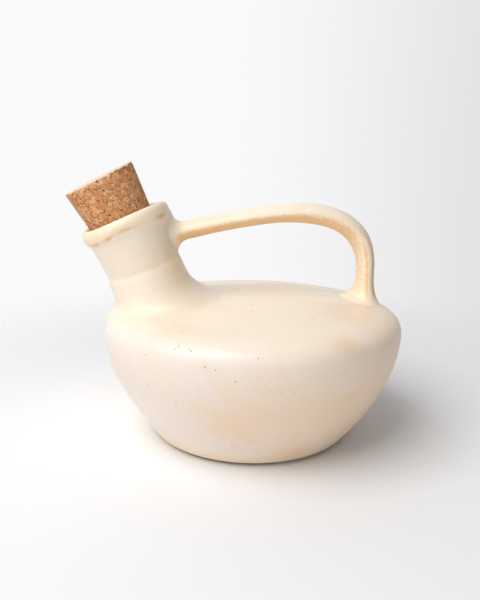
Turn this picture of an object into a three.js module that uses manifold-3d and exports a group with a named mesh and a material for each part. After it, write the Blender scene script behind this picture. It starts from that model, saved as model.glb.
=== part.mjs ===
// A squat ceramic pot for olive oil: a closed body, a leaning neck, a pulled handle and a tapered cork.
// Millimetres, +Z up. The origin is the middle of the flat base. The neck leans towards -X and the
// handle springs from under its lip and comes down on the shoulder at +X, in the plane Y = 0.
import * as THREE from 'three';
import { mergeVertices } from 'three/addons/utils/BufferGeometryUtils.js';
import Module from 'manifold-3d';

const wasm = await Module();
wasm.setup();

const DEG = Math.PI / 180;

// Fits
const JOINT_GAP = 0.3; // line of slip between two clay pieces
const CORK_GAP = 0.3; // least space between the cork and the neck it leans in

// Body
const BASE_R = 56; // flat base, out to its sharp corner
const BASE_ROUND = 2; // rounding of that corner
const BELLY_R = 85; // widest line
const BELLY_Z = 62.7;
const WALL_ANGLE = 53 * DEG; // slope of the wall where it leaves the base
const WALL_PULL = 30.4; // how long the wall keeps that slope
const BELLY_PULL = 21.1; // how long it runs upright under the belly line
const TURN_PULL = 12.9; // how long it runs upright above it
const SHOULDER_INSET = 25.5; // from the belly line in to the edge of the crown
const SHOULDER_RISE = 12.6; // from the belly line up to that edge
const SHOULDER_PULL = 6.4; // how long the crown's slope runs out over the shoulder
const CROWN_RISE = 4.7; // swell of the crown above its edge
const BODY_WALL = 5.5;
const BODY_FLOOR = 6.5;

// Cork, its lengths along its own axis
const CORK_TOP_R = 20;
const CORK_LENGTH = 38;
const CORK_TAPER = 5.6 * DEG;
const CORK_SHOWING = 23.3; // length that stands above the lip
const CORK_TOP_EDGE = 1.2; // worn edges
const CORK_BOTTOM_EDGE = 0.8;
const CORK_TILT = 6.5 * DEG; // it sits a little crooked in the neck

// Neck, its heights along its own axis from where that axis leaves the crown
const NECK_INSET = 30.7; // from the belly line in to that point
const NECK_LEAN = 20.5 * DEG;
const WAIST_H = 24; // the narrowest ring, where the collar and the mouth were joined
const LIP_H = 53; // top of the rolled lip
const LIP_TALL = 8.4;
const LIP_WALL = 4.8;
const NECK_WALL = 4.8;
const THROAT_TAPER = 4 * DEG; // the bore narrows from the cork's foot down to the waist
const MOUTH_SPACE = 0.7; // air between the leaning cork and the lip, beyond the least gap
const UNDERLIP_WALL = 4.6; // wall of the mouth just under its roll
const MOUTH_FLARE = 5.5 * DEG; // the mouth opens at this slope from the waist
const MOUTH_PULL = 12; // and for this long before it curves out more
const LIP_UNDERCUT = 60 * DEG; // how far the roll turns in under itself
const COLLAR_SWELL = 1.5; // the collar grows this much from the waist to its root
const COLLAR_ROOT_W = 9; // clay drawn out on to the crown all round the collar
const COLLAR_ROOT_H = 10.8;
const COLLAR_ROOT_UPHILL = 2; // more of it towards the handle, and less on the low side
const COLLAR_ROOT_SIDE = 4; // and more at the front and the back, where the shoulder turns down
const ROOT_EDGE = 0.7; // thickness at which drawn-out clay ends

// Handle, an oval strap
const HANDLE_THICK = 10.6;
const HANDLE_WIDTH = 15;
const HANDLE_OVAL = 1.85; // 2 is an ellipse, less gives the strap a ridge along each side
const HANDLE_UNDER_LIP = 1.1; // from the lip's roll down to the handle's root
const HANDLE_CLIMB = 19 * DEG;
const HANDLE_START_PULL = 24;
const HANDLE_CREST_Z = 127.3; // middle of the strap at its highest
const HANDLE_CREST_PULL = 25;
const HANDLE_LEG_INSET = 17.8; // from the belly line in to the middle of the leg
const HANDLE_BEND_X = 40; // size of the bend between crest and leg
const HANDLE_BEND_Z = 32;
const HANDLE_BEND_PULL_X = 25.5;
const HANDLE_BEND_PULL_Z = 21.5;
const HANDLE_ROOT = 5; // clay drawn out round each end

// Fineness of the facets
const BODY_SEGMENTS = 56;
const NECK_SEGMENTS = 40;
const HANDLE_SEGMENTS = 20;

const CERAMIC = { color: 0xf1e4d2, roughness: 0.38, metalness: 0 };
const WARM_CERAMIC = { color: 0xf6e7cd, roughness: 0.36, metalness: 0 };
const CORK = { color: 0xb9865a, roughness: 0.9, metalness: 0 };

// Helpers

const point = (r, z) => new THREE.Vector2(r, z);
const steps = (count) => Array.from({ length: count + 1 }, (_, i) => i / count);
const turn = (count) => Array.from({ length: count }, (_, i) => (i / count) * 2 * Math.PI);

// The value at which a rising function of one number passes zero.
function rootOf(rising, low, high) {
  for (let i = 0; i < 50; i += 1) {
    const middle = (low + high) / 2;
    if (rising(middle) > 0) high = middle;
    else low = middle;
  }
  return (low + high) / 2;
}

// A closed outline of radius and height, turned about Z.
function revolve(outline, segments) {
  const geometry = new THREE.LatheGeometry(outline, segments);
  geometry.rotateX(Math.PI / 2);
  geometry.deleteAttribute('normal');
  geometry.deleteAttribute('uv');
  return mergeVertices(geometry, 1e-4);
}

// A skin over rings of equal count. A ring list either closes on itself or ends in two points.
function loft(rings, endPoints = null) {
  const count = rings[0].length;
  const vertices = rings.flat();
  const triangles = [];
  const corner = (ring, i) => (ring % rings.length) * count + (i % count);
  const bands = endPoints ? rings.length - 1 : rings.length;
  for (let ring = 0; ring < bands; ring += 1) {
    for (let i = 0; i < count; i += 1) {
      const [a, b] = [corner(ring, i), corner(ring, i + 1)];
      const [c, d] = [corner(ring + 1, i), corner(ring + 1, i + 1)];
      triangles.push(a, d, b, a, c, d);
    }
  }
  if (endPoints) {
    const first = vertices.push(endPoints[0]) - 1;
    const last = vertices.push(endPoints[1]) - 1;
    for (let i = 0; i < count; i += 1) {
      triangles.push(first, corner(0, i), corner(0, i + 1));
      triangles.push(last, corner(rings.length - 1, i + 1), corner(rings.length - 1, i));
    }
  }
  const geometry = new THREE.BufferGeometry().setFromPoints(vertices);
  geometry.setIndex(triangles);
  return geometry;
}

function solidOf(geometry) {
  const vertProperties = new Float32Array(geometry.attributes.position.array);
  const triVerts = new Uint32Array(geometry.index.array);
  return new wasm.Manifold(new wasm.Mesh({ numProp: 3, vertProperties, triVerts }));
}

function geometryOf(solid) {
  const { vertProperties, triVerts } = solid.getMesh();
  const geometry = new THREE.BufferGeometry();
  geometry.setAttribute('position', new THREE.BufferAttribute(new Float32Array(vertProperties), 3));
  geometry.setIndex(new THREE.BufferAttribute(new Uint32Array(triVerts), 1));
  return geometry;
}

function piece(name, geometry, finish) {
  geometry.computeVertexNormals();
  const mesh = new THREE.Mesh(geometry, new THREE.MeshStandardMaterial(finish));
  mesh.name = name;
  return mesh;
}

// Outline of the body

const shoulderR = BELLY_R - SHOULDER_INSET;
const shoulderZ = BELLY_Z + SHOULDER_RISE;
const crownZ = shoulderZ + CROWN_RISE;
const crownSlope = Math.atan2(2 * CROWN_RISE, shoulderR);

const wallCurve = new THREE.CubicBezierCurve(
  point(BASE_R, 0),
  point(BASE_R + WALL_PULL * Math.cos(WALL_ANGLE), WALL_PULL * Math.sin(WALL_ANGLE)),
  point(BELLY_R, BELLY_Z - BELLY_PULL),
  point(BELLY_R, BELLY_Z),
);
const shoulderCurve = new THREE.CubicBezierCurve(
  point(BELLY_R, BELLY_Z),
  point(BELLY_R, BELLY_Z + TURN_PULL),
  point(shoulderR + SHOULDER_PULL * Math.cos(crownSlope), shoulderZ - SHOULDER_PULL * Math.sin(crownSlope)),
  point(shoulderR, shoulderZ),
);
const crownCurve = new THREE.QuadraticBezierCurve(
  point(shoulderR, shoulderZ),
  point(shoulderR / 2, crownZ),
  point(0, crownZ),
);

// Height of the top of the body at a distance from its axis.
function topHeight(r) {
  if (r <= shoulderR) return crownZ - CROWN_RISE * (r / shoulderR) ** 2;
  if (r >= BELLY_R) return BELLY_Z;
  const t = rootOf((u) => r - shoulderCurve.getPoint(u).x, 0, 1);
  return shoulderCurve.getPoint(t).y;
}

// A point of a curve, set in by the wall towards the inside of the body.
function insidePoint(curve, t) {
  const tangent = curve.getTangent(t);
  return curve.getPoint(t).add(point(-tangent.y, tangent.x).multiplyScalar(BODY_WALL));
}

// Body, a thrown bowl and the shoulder luted on to its rim

function bowl() {
  const leave = rootOf((t) => wallCurve.getPoint(t).y - BASE_ROUND * Math.sin(WALL_ANGLE), 0, 1);
  const edge = new THREE.QuadraticBezierCurve(
    point(BASE_R - BASE_ROUND, 0),
    point(BASE_R, 0),
    wallCurve.getPoint(leave),
  );
  const floorMeets = rootOf((t) => insidePoint(wallCurve, t).y - BODY_FLOOR, 0, 1);
  const rim = point(0, -JOINT_GAP / 2);
  const outer = steps(14).slice(1).map((t) => wallCurve.getPoint(leave + (1 - leave) * t));
  const inner = steps(9).map((t) => insidePoint(wallCurve, 1 - (1 - floorMeets) * t));
  outer.at(-1).add(rim);
  inner[0].add(rim);
  return revolve([point(0, 0), ...edge.getPoints(3), ...outer, ...inner, point(0, BODY_FLOOR)], BODY_SEGMENTS);
}

function shoulderDome() {
  const rim = point(0, JOINT_GAP / 2);
  const outer = [...shoulderCurve.getPoints(11), ...crownCurve.getPoints(5).slice(1)];
  const crownInside = steps(3).map((t) => insidePoint(crownCurve, 1 - t));
  const inner = [...crownInside, ...steps(7).slice(1).map((t) => insidePoint(shoulderCurve, 1 - t))];
  inner[0].x = 0;
  inner.at(-1).add(rim);
  outer[0].add(rim);
  const shell = solidOf(revolve([...inner, ...outer], BODY_SEGMENTS));
  const reach = 4 * BODY_WALL;
  const hole = revolve([point(0, -reach), point(throatR, -reach), point(throatR, reach), point(0, reach)], NECK_SEGMENTS);
  hole.applyMatrix4(neckFrame);
  return geometryOf(shell.subtract(solidOf(hole)));
}

// Neck, in its own frame: Z along its axis, X uphill towards the handle

const neckX = NECK_INSET - BELLY_R;
const neckBase = new THREE.Vector3(neckX, 0, topHeight(-neckX));
const neckFrame = new THREE.Matrix4().makeRotationY(-NECK_LEAN).setPosition(neckBase);
const neckFrameBack = neckFrame.clone().invert();

// The bore follows the cork: its seat, the mouth round the leaning cork, and the throat below.
const corkBottomR = CORK_TOP_R - CORK_LENGTH * Math.tan(CORK_TAPER);
const corkInside = CORK_LENGTH - CORK_SHOWING;
const corkLipR = CORK_TOP_R - CORK_SHOWING * Math.tan(CORK_TAPER);
const seatH = LIP_H - corkInside * Math.cos(CORK_TILT);
const seatR = corkBottomR + CORK_GAP;
const mouthR = corkLipR + corkInside * Math.sin(CORK_TILT) + CORK_GAP + MOUTH_SPACE;
const seatDrop = corkBottomR * Math.sin(CORK_TILT) + CORK_GAP;
const throatR = seatR - (seatH - seatDrop - WAIST_H) * Math.tan(THROAT_TAPER);
const waistR = throatR + NECK_WALL;
const lipMiddleH = LIP_H - LIP_TALL / 2;
const lipMiddleR = mouthR + LIP_WALL / 2;
const underlipR = mouthR - (mouthR - seatR) * (LIP_TALL / corkInside) + UNDERLIP_WALL;

const mouthCurve = new THREE.QuadraticBezierCurve(
  point(waistR, WAIST_H),
  point(waistR + MOUTH_PULL * Math.sin(MOUTH_FLARE), WAIST_H + MOUTH_PULL * Math.cos(MOUTH_FLARE)),
  point(underlipR, LIP_H - LIP_TALL),
);

// Outer radius of the mouth at a height on the neck, below its lip.
function mouthRadius(h) {
  const t = rootOf((u) => mouthCurve.getPoint(u).y - h, 0, 1);
  return mouthCurve.getPoint(t).x;
}

// The lip's roll, from the outside under it, over the top, to the bore.
function lipRoll() {
  return steps(12).map((t) => {
    const angle = (Math.PI + LIP_UNDERCUT) * t - LIP_UNDERCUT;
    return point(
      lipMiddleR + (LIP_WALL / 2) * Math.cos(angle),
      lipMiddleH + (LIP_TALL / 2) * Math.sin(angle),
    );
  });
}

function neckMouth() {
  const bottom = WAIST_H + JOINT_GAP / 2;
  const outer = mouthCurve.getPoints(8);
  outer[0].y = bottom;
  const inner = [point(seatR, seatH - seatDrop), point(throatR, bottom)];
  return revolve([...outer, ...lipRoll(), ...inner, outer[0].clone()], NECK_SEGMENTS);
}

// A point of the neck's frame at an angle round its axis.
function roundNeck(angle, r, h) {
  return new THREE.Vector3(r * Math.cos(angle), r * Math.sin(angle), h);
}

// Height on a line beside the neck's axis at which it leaves the top of the body.
function crownMeets(angle, r) {
  const above = (h) => {
    const p = roundNeck(angle, r, h).applyMatrix4(neckFrame);
    return p.z - topHeight(Math.hypot(p.x, p.y));
  };
  return rootOf(above, -BELLY_Z, BELLY_Z);
}

// The collar: its wall swells down from the waist, and its root is drawn out over the leaning crown.
function neckCollar() {
  const top = WAIST_H - JOINT_GAP / 2;
  const rootR = waistR + COLLAR_SWELL;
  const seat = (angle, r) => crownMeets(angle, r) + JOINT_GAP;
  const rootMore = (angle) => COLLAR_ROOT_UPHILL * Math.cos(angle) + COLLAR_ROOT_SIDE * Math.sin(angle) ** 2;
  const rootWidth = (angle) => COLLAR_ROOT_W + rootMore(angle);
  const rootHeight = (angle) => COLLAR_ROOT_H + rootMore(angle);
  const wall = steps(5).map((t) => (angle) => {
    const low = seat(angle, rootR) + ROOT_EDGE + rootHeight(angle);
    return roundNeck(angle, waistR + COLLAR_SWELL * t ** 2, top + (low - top) * t);
  });
  const root = steps(6).slice(1).map((t) => (angle) => {
    const r = rootR + rootWidth(angle) * (1 - Math.cos((t * Math.PI) / 2));
    const lift = ROOT_EDGE + rootHeight(angle) * (1 - Math.sin((t * Math.PI) / 2));
    return roundNeck(angle, r, seat(angle, r) + lift);
  });
  const underside = steps(4).map((t) => (angle) => {
    const r = throatR + (rootR + rootWidth(angle) - throatR) * (1 - t);
    return roundNeck(angle, r, seat(angle, r));
  });
  const bore = steps(2).slice(1).map((t) => (angle) => {
    const low = seat(angle, throatR);
    return roundNeck(angle, throatR, low + (top - low) * t);
  });
  const rings = [...wall, ...root, ...underside, ...bore].map((ring) => turn(NECK_SEGMENTS).map(ring));
  return loft(rings);
}

// Handle, a strap swept in the plane Y = 0 with both roots drawn out on what they join

const legX = BELLY_R - HANDLE_LEG_INSET;
const crestX = legX - HANDLE_BEND_X;
const legZ = HANDLE_CREST_Z - HANDLE_BEND_Z;
const startWay = new THREE.Vector3(Math.cos(HANDLE_CLIMB), 0, Math.sin(HANDLE_CLIMB));
const downWay = new THREE.Vector3(0, 0, -1);
const rootReach = HANDLE_ROOT + ROOT_EDGE + JOINT_GAP;

// Offset of the strap's skin from its middle line: across it in the plane, and along Y.
function strapOffset(angle) {
  const round = (value) => Math.sign(value) * Math.abs(value) ** (2 / HANDLE_OVAL);
  return point((HANDLE_THICK / 2) * round(Math.cos(angle)), (HANDLE_WIDTH / 2) * round(Math.sin(angle)));
}

// A point beside the middle line, given the way that the line runs there.
function besideLine(middle, way, offset) {
  const across = new THREE.Vector3(-way.z, 0, way.x);
  return middle.clone().addScaledVector(across, offset.x).add(new THREE.Vector3(0, offset.y, 0));
}

// Where a line that runs back from a point meets the neck, outside its skin by the joint's gap.
function backToNeck(from) {
  const outside = (reach) => {
    const p = from.clone().addScaledVector(startWay, reach).applyMatrix4(neckFrameBack);
    return Math.hypot(p.x, p.y) - mouthRadius(p.z) - JOINT_GAP;
  };
  return from.clone().addScaledVector(startWay, rootOf(outside, -lipMiddleR, HANDLE_BEND_X));
}

// Where a line that runs down from a point meets the shoulder, above it by the joint's gap.
function downToShoulder(from) {
  return new THREE.Vector3(from.x, from.y, topHeight(Math.hypot(from.x, from.y)) + JOINT_GAP);
}

// Rings of one root, from its flat seat out to the plain strap.
function rootRings(middle, way, seatOf, awayFromSeat) {
  const ringAt = (grow, lift) => turn(HANDLE_SEGMENTS).map((angle) => {
    const offset = strapOffset(angle);
    const grown = offset.clone().setLength(offset.length() * grow.share + grow.by);
    return seatOf(besideLine(middle, way, grown)).addScaledVector(awayFromSeat, lift);
  });
  const seat = [0.35, 0.7].map((share) => ringAt({ share, by: HANDLE_ROOT * share }, 0));
  const skin = steps(5).map((t) => ringAt(
    { share: 1, by: HANDLE_ROOT * (1 - Math.sin((t * Math.PI) / 2)) },
    ROOT_EDGE + HANDLE_ROOT * (1 - Math.cos((t * Math.PI) / 2)),
  ));
  return [...seat, ringAt({ share: 1, by: HANDLE_ROOT }, 0), ...skin];
}

function handle() {
  const neckH = LIP_H - LIP_TALL - HANDLE_UNDER_LIP - HANDLE_ROOT - HANDLE_THICK / 2;
  const neckPoint = new THREE.Vector3(mouthRadius(neckH), 0, neckH).applyMatrix4(neckFrame);
  const start = neckPoint.clone().addScaledVector(startWay, rootReach);
  const crest = new THREE.Vector3(crestX, 0, HANDLE_CREST_Z);
  const legTop = new THREE.Vector3(legX, 0, legZ);
  const footPoint = new THREE.Vector3(legX, 0, topHeight(legX));
  const climb = new THREE.CubicBezierCurve3(
    start,
    start.clone().addScaledVector(startWay, HANDLE_START_PULL),
    crest.clone().add(new THREE.Vector3(-HANDLE_CREST_PULL, 0, 0)),
    crest,
  );
  const bend = new THREE.CubicBezierCurve3(
    crest,
    crest.clone().add(new THREE.Vector3(HANDLE_BEND_PULL_X, 0, 0)),
    legTop.clone().add(new THREE.Vector3(0, 0, HANDLE_BEND_PULL_Z)),
    legTop,
  );
  const leg = new THREE.LineCurve3(legTop, footPoint.clone().addScaledVector(downWay, -rootReach));
  const ringOn = (curve) => (t) => turn(HANDLE_SEGMENTS).map(
    (angle) => besideLine(curve.getPoint(t), curve.getTangent(t), strapOffset(angle)),
  );
  const strap = [
    ...steps(9).slice(1).map(ringOn(climb)),
    ...steps(11).slice(1).map(ringOn(bend)),
    ...steps(2).slice(1, -1).map(ringOn(leg)),
  ];
  const neckRoot = rootRings(neckPoint, startWay, backToNeck, startWay);
  const footRoot = rootRings(footPoint, downWay, downToShoulder, downWay.clone().negate()).reverse();
  return loft([...neckRoot, ...strap, ...footRoot], [backToNeck(neckPoint), downToShoulder(footPoint)]);
}

// Cork, in its own frame: Z up its axis from the middle of its foot

function corkStopper() {
  return revolve([
    point(0, 0),
    point(corkBottomR - CORK_BOTTOM_EDGE, 0),
    point(corkBottomR + CORK_BOTTOM_EDGE * Math.tan(CORK_TAPER), CORK_BOTTOM_EDGE),
    point(CORK_TOP_R - CORK_TOP_EDGE * Math.tan(CORK_TAPER), CORK_LENGTH - CORK_TOP_EDGE),
    point(CORK_TOP_R - CORK_TOP_EDGE, CORK_LENGTH),
    point(0, CORK_LENGTH),
  ], NECK_SEGMENTS);
}

// Assembly

const pot = new THREE.Group();
pot.add(piece('bowl', bowl(), CERAMIC));
pot.add(piece('shoulder_dome', shoulderDome(), CERAMIC));
pot.add(piece('handle', handle(), WARM_CERAMIC));

const neck = new THREE.Group();
neck.applyMatrix4(neckFrame);
neck.add(piece('neck_collar', neckCollar(), WARM_CERAMIC));
neck.add(piece('neck_mouth', neckMouth(), WARM_CERAMIC));
pot.add(neck);

const cork = piece('cork_stopper', corkStopper(), CORK);
cork.position.set(0, 0, seatH);
cork.rotation.y = -CORK_TILT;
neck.add(cork);

export default pot;
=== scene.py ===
"""Looks of an olive oil pot: five pieces of glazed clay and a cork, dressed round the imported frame.

Sizes are in millimetres and become metres when a mesh is made. The origin is the middle of the flat
base and +Z is up. The neck leans towards -X and the handle comes down on the shoulder at +X.
"""

import logging
import math
from collections.abc import Callable, Sequence
from dataclasses import dataclass, field
from enum import Enum
from functools import partial, reduce

import bpy
import numpy as np
from mathutils import Matrix, Vector


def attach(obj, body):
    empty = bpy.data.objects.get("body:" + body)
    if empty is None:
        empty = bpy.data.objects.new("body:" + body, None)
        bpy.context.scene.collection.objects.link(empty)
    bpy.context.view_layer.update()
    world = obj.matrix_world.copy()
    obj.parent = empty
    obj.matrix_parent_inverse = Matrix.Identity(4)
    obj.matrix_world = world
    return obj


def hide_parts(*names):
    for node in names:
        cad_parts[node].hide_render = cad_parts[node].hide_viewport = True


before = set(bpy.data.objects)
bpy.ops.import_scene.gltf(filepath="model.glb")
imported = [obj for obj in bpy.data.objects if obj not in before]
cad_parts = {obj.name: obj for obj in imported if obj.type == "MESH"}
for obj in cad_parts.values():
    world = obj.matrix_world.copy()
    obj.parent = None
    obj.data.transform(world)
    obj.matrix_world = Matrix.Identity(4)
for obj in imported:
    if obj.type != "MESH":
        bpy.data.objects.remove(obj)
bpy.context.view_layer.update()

LOG = logging.getLogger("olive_oil_pot")
MM = 0.001  # metres in a millimetre
FINE = 4000  # samples of a curve that is looked up by one of its coordinates
HALVINGS = 46  # after so many halvings a root is as near as numbers go

Array = np.ndarray
Object = bpy.types.Object
Material = bpy.types.Material
Socket = bpy.types.NodeSocket
Triple = tuple[float, float, float]
Colour = Place = Triple
Pair = tuple[float, float]
Span = Pair  # where a smooth step starts and where it ends


class Body(Enum):
    """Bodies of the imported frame."""

    POT = "pot"
    CORK = "cork"


class Slot(Enum):
    """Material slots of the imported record."""

    IVORY_GLAZE = "ivory_glaze"
    CREAM_GLAZE = "cream_glaze"
    CORK = "cork"


class Tint(Enum):
    """Vertex maps that the glaze reads, three numbers each."""

    COAT = "glaze_coat"  # warm cream, thin breaks, pooled glaze, and painted shade laid on as thin or pooled glaze
    MARKS = "glaze_marks"  # white flecks, tan patches (one partly painted shade), bare clay
    BRUSH = "glaze_brush"  # across the stroke, along the stroke, how much of it shows


class Share(Enum):
    """Vertex maps of one number, from 0 to 1."""

    HAND = "hand_shaped"  # how much of the hand's unevenness a vertex takes
    SEAM = "seam"  # 1 where the collar runs out on the crown
    SEAM_NECK = "seam_neck"  # 1 where the handle runs out on the neck
    SEAM_FOOT = "seam_foot"  # 1 where the handle runs out on the shoulder
    CUT_TOP = "cut_top"  # 1 on the cork's cut end
    WORN_EDGE = "worn_edge"  # 1 at the cork's upper rim


# Curves


def bezier(points: Sequence[Sequence[float]], t: Array) -> Array:
    """Points of a Bezier curve.

    Args:
        points: control points, of any count.
        t: places along the curve, 0 to 1.

    Returns:
        One row for each place.
    """
    share = np.asarray(t, float).reshape(-1, 1)
    rows = [np.asarray(p, float)[None, :] for p in points]
    while len(rows) > 1:
        rows = [a * (1 - share) + b * share for a, b in zip(rows, rows[1:])]
    return rows[0]


def unit(vectors: Array) -> Array:
    """Vectors of length 1 that run the same way."""
    return vectors / np.linalg.norm(vectors, axis=-1, keepdims=True)


def tangents(points: Sequence[Sequence[float]], t: Array) -> Array:
    """Unit tangents of a Bezier curve at places along it, 0 to 1."""
    array = np.asarray(points, float)
    return unit(bezier(array[1:] - array[:-1], t))


def smooth(value: Array, low: float, high: float) -> Array:
    """Smooth step from 0 at low to 1 at high, falling where low is above high."""
    t = np.clip((np.asarray(value, float) - low) / (high - low), 0, 1)
    return t * t * (3 - 2 * t)


def hump(value: Array, width: float) -> Array:
    """Bell curve of height 1 at zero."""
    return np.exp(-((np.asarray(value, float) / width) ** 2))


def root_of(rising: Callable[[Array], Array], low: Array, high: Array) -> Array:
    """Values at which a rising function passes zero, for many at once.

    Args:
        rising: function of an array.
        low: values below the roots.
        high: values above the roots.

    Returns:
        The roots.
    """
    for _ in range(HALVINGS):
        middle = (low + high) / 2
        above = rising(middle) > 0
        high = np.where(above, middle, high)
        low = np.where(above, low, middle)
    return (low + high) / 2


def turn(count: int) -> Array:
    """Angles of equal steps round a circle."""
    return np.arange(count) * (2 * math.pi / count)


def angle_from(middle: float, angle: Array, full: float = 360.0) -> Array:
    """Angles counted from a middle one, up to half a turn either way."""
    return (angle - middle + full / 2) % full - full / 2


def polar(r: Array | float, angle: Array, h: Array | float) -> Array:
    """Places at distances from Z, angles about it and heights, spread over each other."""
    return np.stack(np.broadcast_arrays(r * np.cos(angle), r * np.sin(angle), h), -1)


def on_axis(*heights: float) -> tuple[Array, ...]:
    """Places on the Z axis."""
    return tuple(np.array([0.0, 0.0, h]) for h in heights)


def revolve(outline: Array, count: int) -> Array:
    """Rings of an outline of radius and height turned about Z."""
    return polar(outline[:, :1], turn(count), outline[:, 1:2])


# Meshes


def add_object(name: str, data: bpy.types.ID) -> Object:
    """Makes an object of a mesh, a lamp or a camera and links it to the scene.

    Args:
        name: the object's name.
        data: what it holds.

    Returns:
        The new object, at the origin.
    """
    made = bpy.data.objects.new(name, data)
    bpy.context.scene.collection.objects.link(made)
    return made


def discard(*helpers: Object) -> None:
    """Removes helper objects and their meshes."""
    for helper in helpers:
        mesh = helper.data
        bpy.data.objects.remove(helper)
        bpy.data.meshes.remove(mesh)


def read_share(made: Object, share: Share) -> Array:
    """Numbers of a vertex map, one for each vertex of a piece."""
    store = made.data.attributes[share.value].data
    return np.array([item.value for item in store], np.float32)


def bake(made: Object) -> Object:
    """Turns an object's evaluated mesh into its own plain mesh and removes its modifiers.

    Args:
        made: the object.

    Returns:
        The same object.
    """
    graph = bpy.context.evaluated_depsgraph_get()
    mesh = bpy.data.meshes.new_from_object(made.evaluated_get(graph), depsgraph=graph)
    old = made.data
    made.modifiers.clear()
    made.data = mesh
    mesh.name = made.name
    bpy.data.meshes.remove(old)
    return made


def settle(made: Object, body: Body, node: str | None = None) -> Object:
    """Gives a finished piece its body and the node that it stands for.

    Args:
        made: the finished piece.
        body: the body that it moves with.
        node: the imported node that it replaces, if any.

    Returns:
        The same piece.
    """
    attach(made, body.value)
    if node:
        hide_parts(node)
    LOG.info("%s: %d faces on %s", made.name, len(made.data.polygons), body.value)
    return made


@dataclass
class Skin:
    """A closed skin over rings of equal count, with the maps that its finish reads."""

    rings: Array  # ring, place on the ring, xyz
    ends: tuple[Array, Array] | None = None  # tips of a skin that doesn't close on itself
    maps: dict[str, Array] = field(default_factory=dict)

    @property
    def points(self) -> Array:
        """All vertices, tips last."""
        flat = self.rings.reshape(-1, 3)
        return flat if self.ends is None else np.vstack([flat, *self.ends])

    def shift(self, offsets: Array) -> None:
        """Moves the vertices.

        Args:
            offsets: how far each of them moves.
        """
        count = self.rings.size // 3
        self.rings = self.rings + offsets[:count].reshape(self.rings.shape)
        if self.ends is not None:
            tips = zip(self.ends, offsets[count:])
            self.ends = tuple(tip + offset for tip, offset in tips)

    def spread(self, values: Array) -> Array:
        """One value for each vertex from one for each ring.

        Args:
            values: a value for each ring, or for each ring and place on it.

        Returns:
            A value for each vertex, with the end rings' means on the tips.
        """
        rows = np.asarray(values, float).reshape(len(self.rings), -1)
        table = np.broadcast_to(rows, self.rings.shape[:2])
        flat = table.reshape(-1)
        return flat if self.ends is None else np.append(flat, [table[0].mean(), table[-1].mean()])

    def faces(self) -> tuple[Array, list[tuple[int, int, int]]]:
        """Faces of the skin, all pointing out.

        Returns:
            The quads between the rings, and the triangles at the tips.
        """
        ring_count, count = self.rings.shape[:2]
        ring = np.arange(ring_count * count).reshape(ring_count, count)
        nearer = np.roll(ring, -1, 0)
        quads = np.stack([ring, np.roll(ring, -1, 1), np.roll(nearer, -1, 1), nearer], -1)
        if self.ends is None:
            return quads.reshape(-1, 4), []
        first, last = ring.size, ring.size + 1
        base = ring.size - count
        tips = [(first, (i + 1) % count, i) for i in range(count)]
        tips += [(last, base + i, base + (i + 1) % count) for i in range(count)]
        return quads[:-1].reshape(-1, 4), tips

    def mesh_object(self, name: str, sharp: float) -> Object:
        """Makes the Blender object.

        Args:
            name: the object's name.
            sharp: angle in degrees above which an edge stays sharp.

        Returns:
            A linked object at the origin, in metres.
        """
        quads, tips = self.faces()
        mesh = bpy.data.meshes.new(name)
        mesh.from_pydata((self.points * MM).tolist(), [], [*quads.tolist(), *tips])
        for key, values in self.maps.items():
            kind, part = ("FLOAT", "value") if values.ndim == 1 else ("FLOAT_VECTOR", "vector")
            store = mesh.attributes.new(key, kind, "POINT")
            store.data.foreach_set(part, values.astype(np.float32).ravel())
        mesh.validate()
        mesh.shade_smooth()
        mesh.set_sharp_from_angle(angle=math.radians(sharp))
        return add_object(name, mesh)


# Node trees


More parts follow.
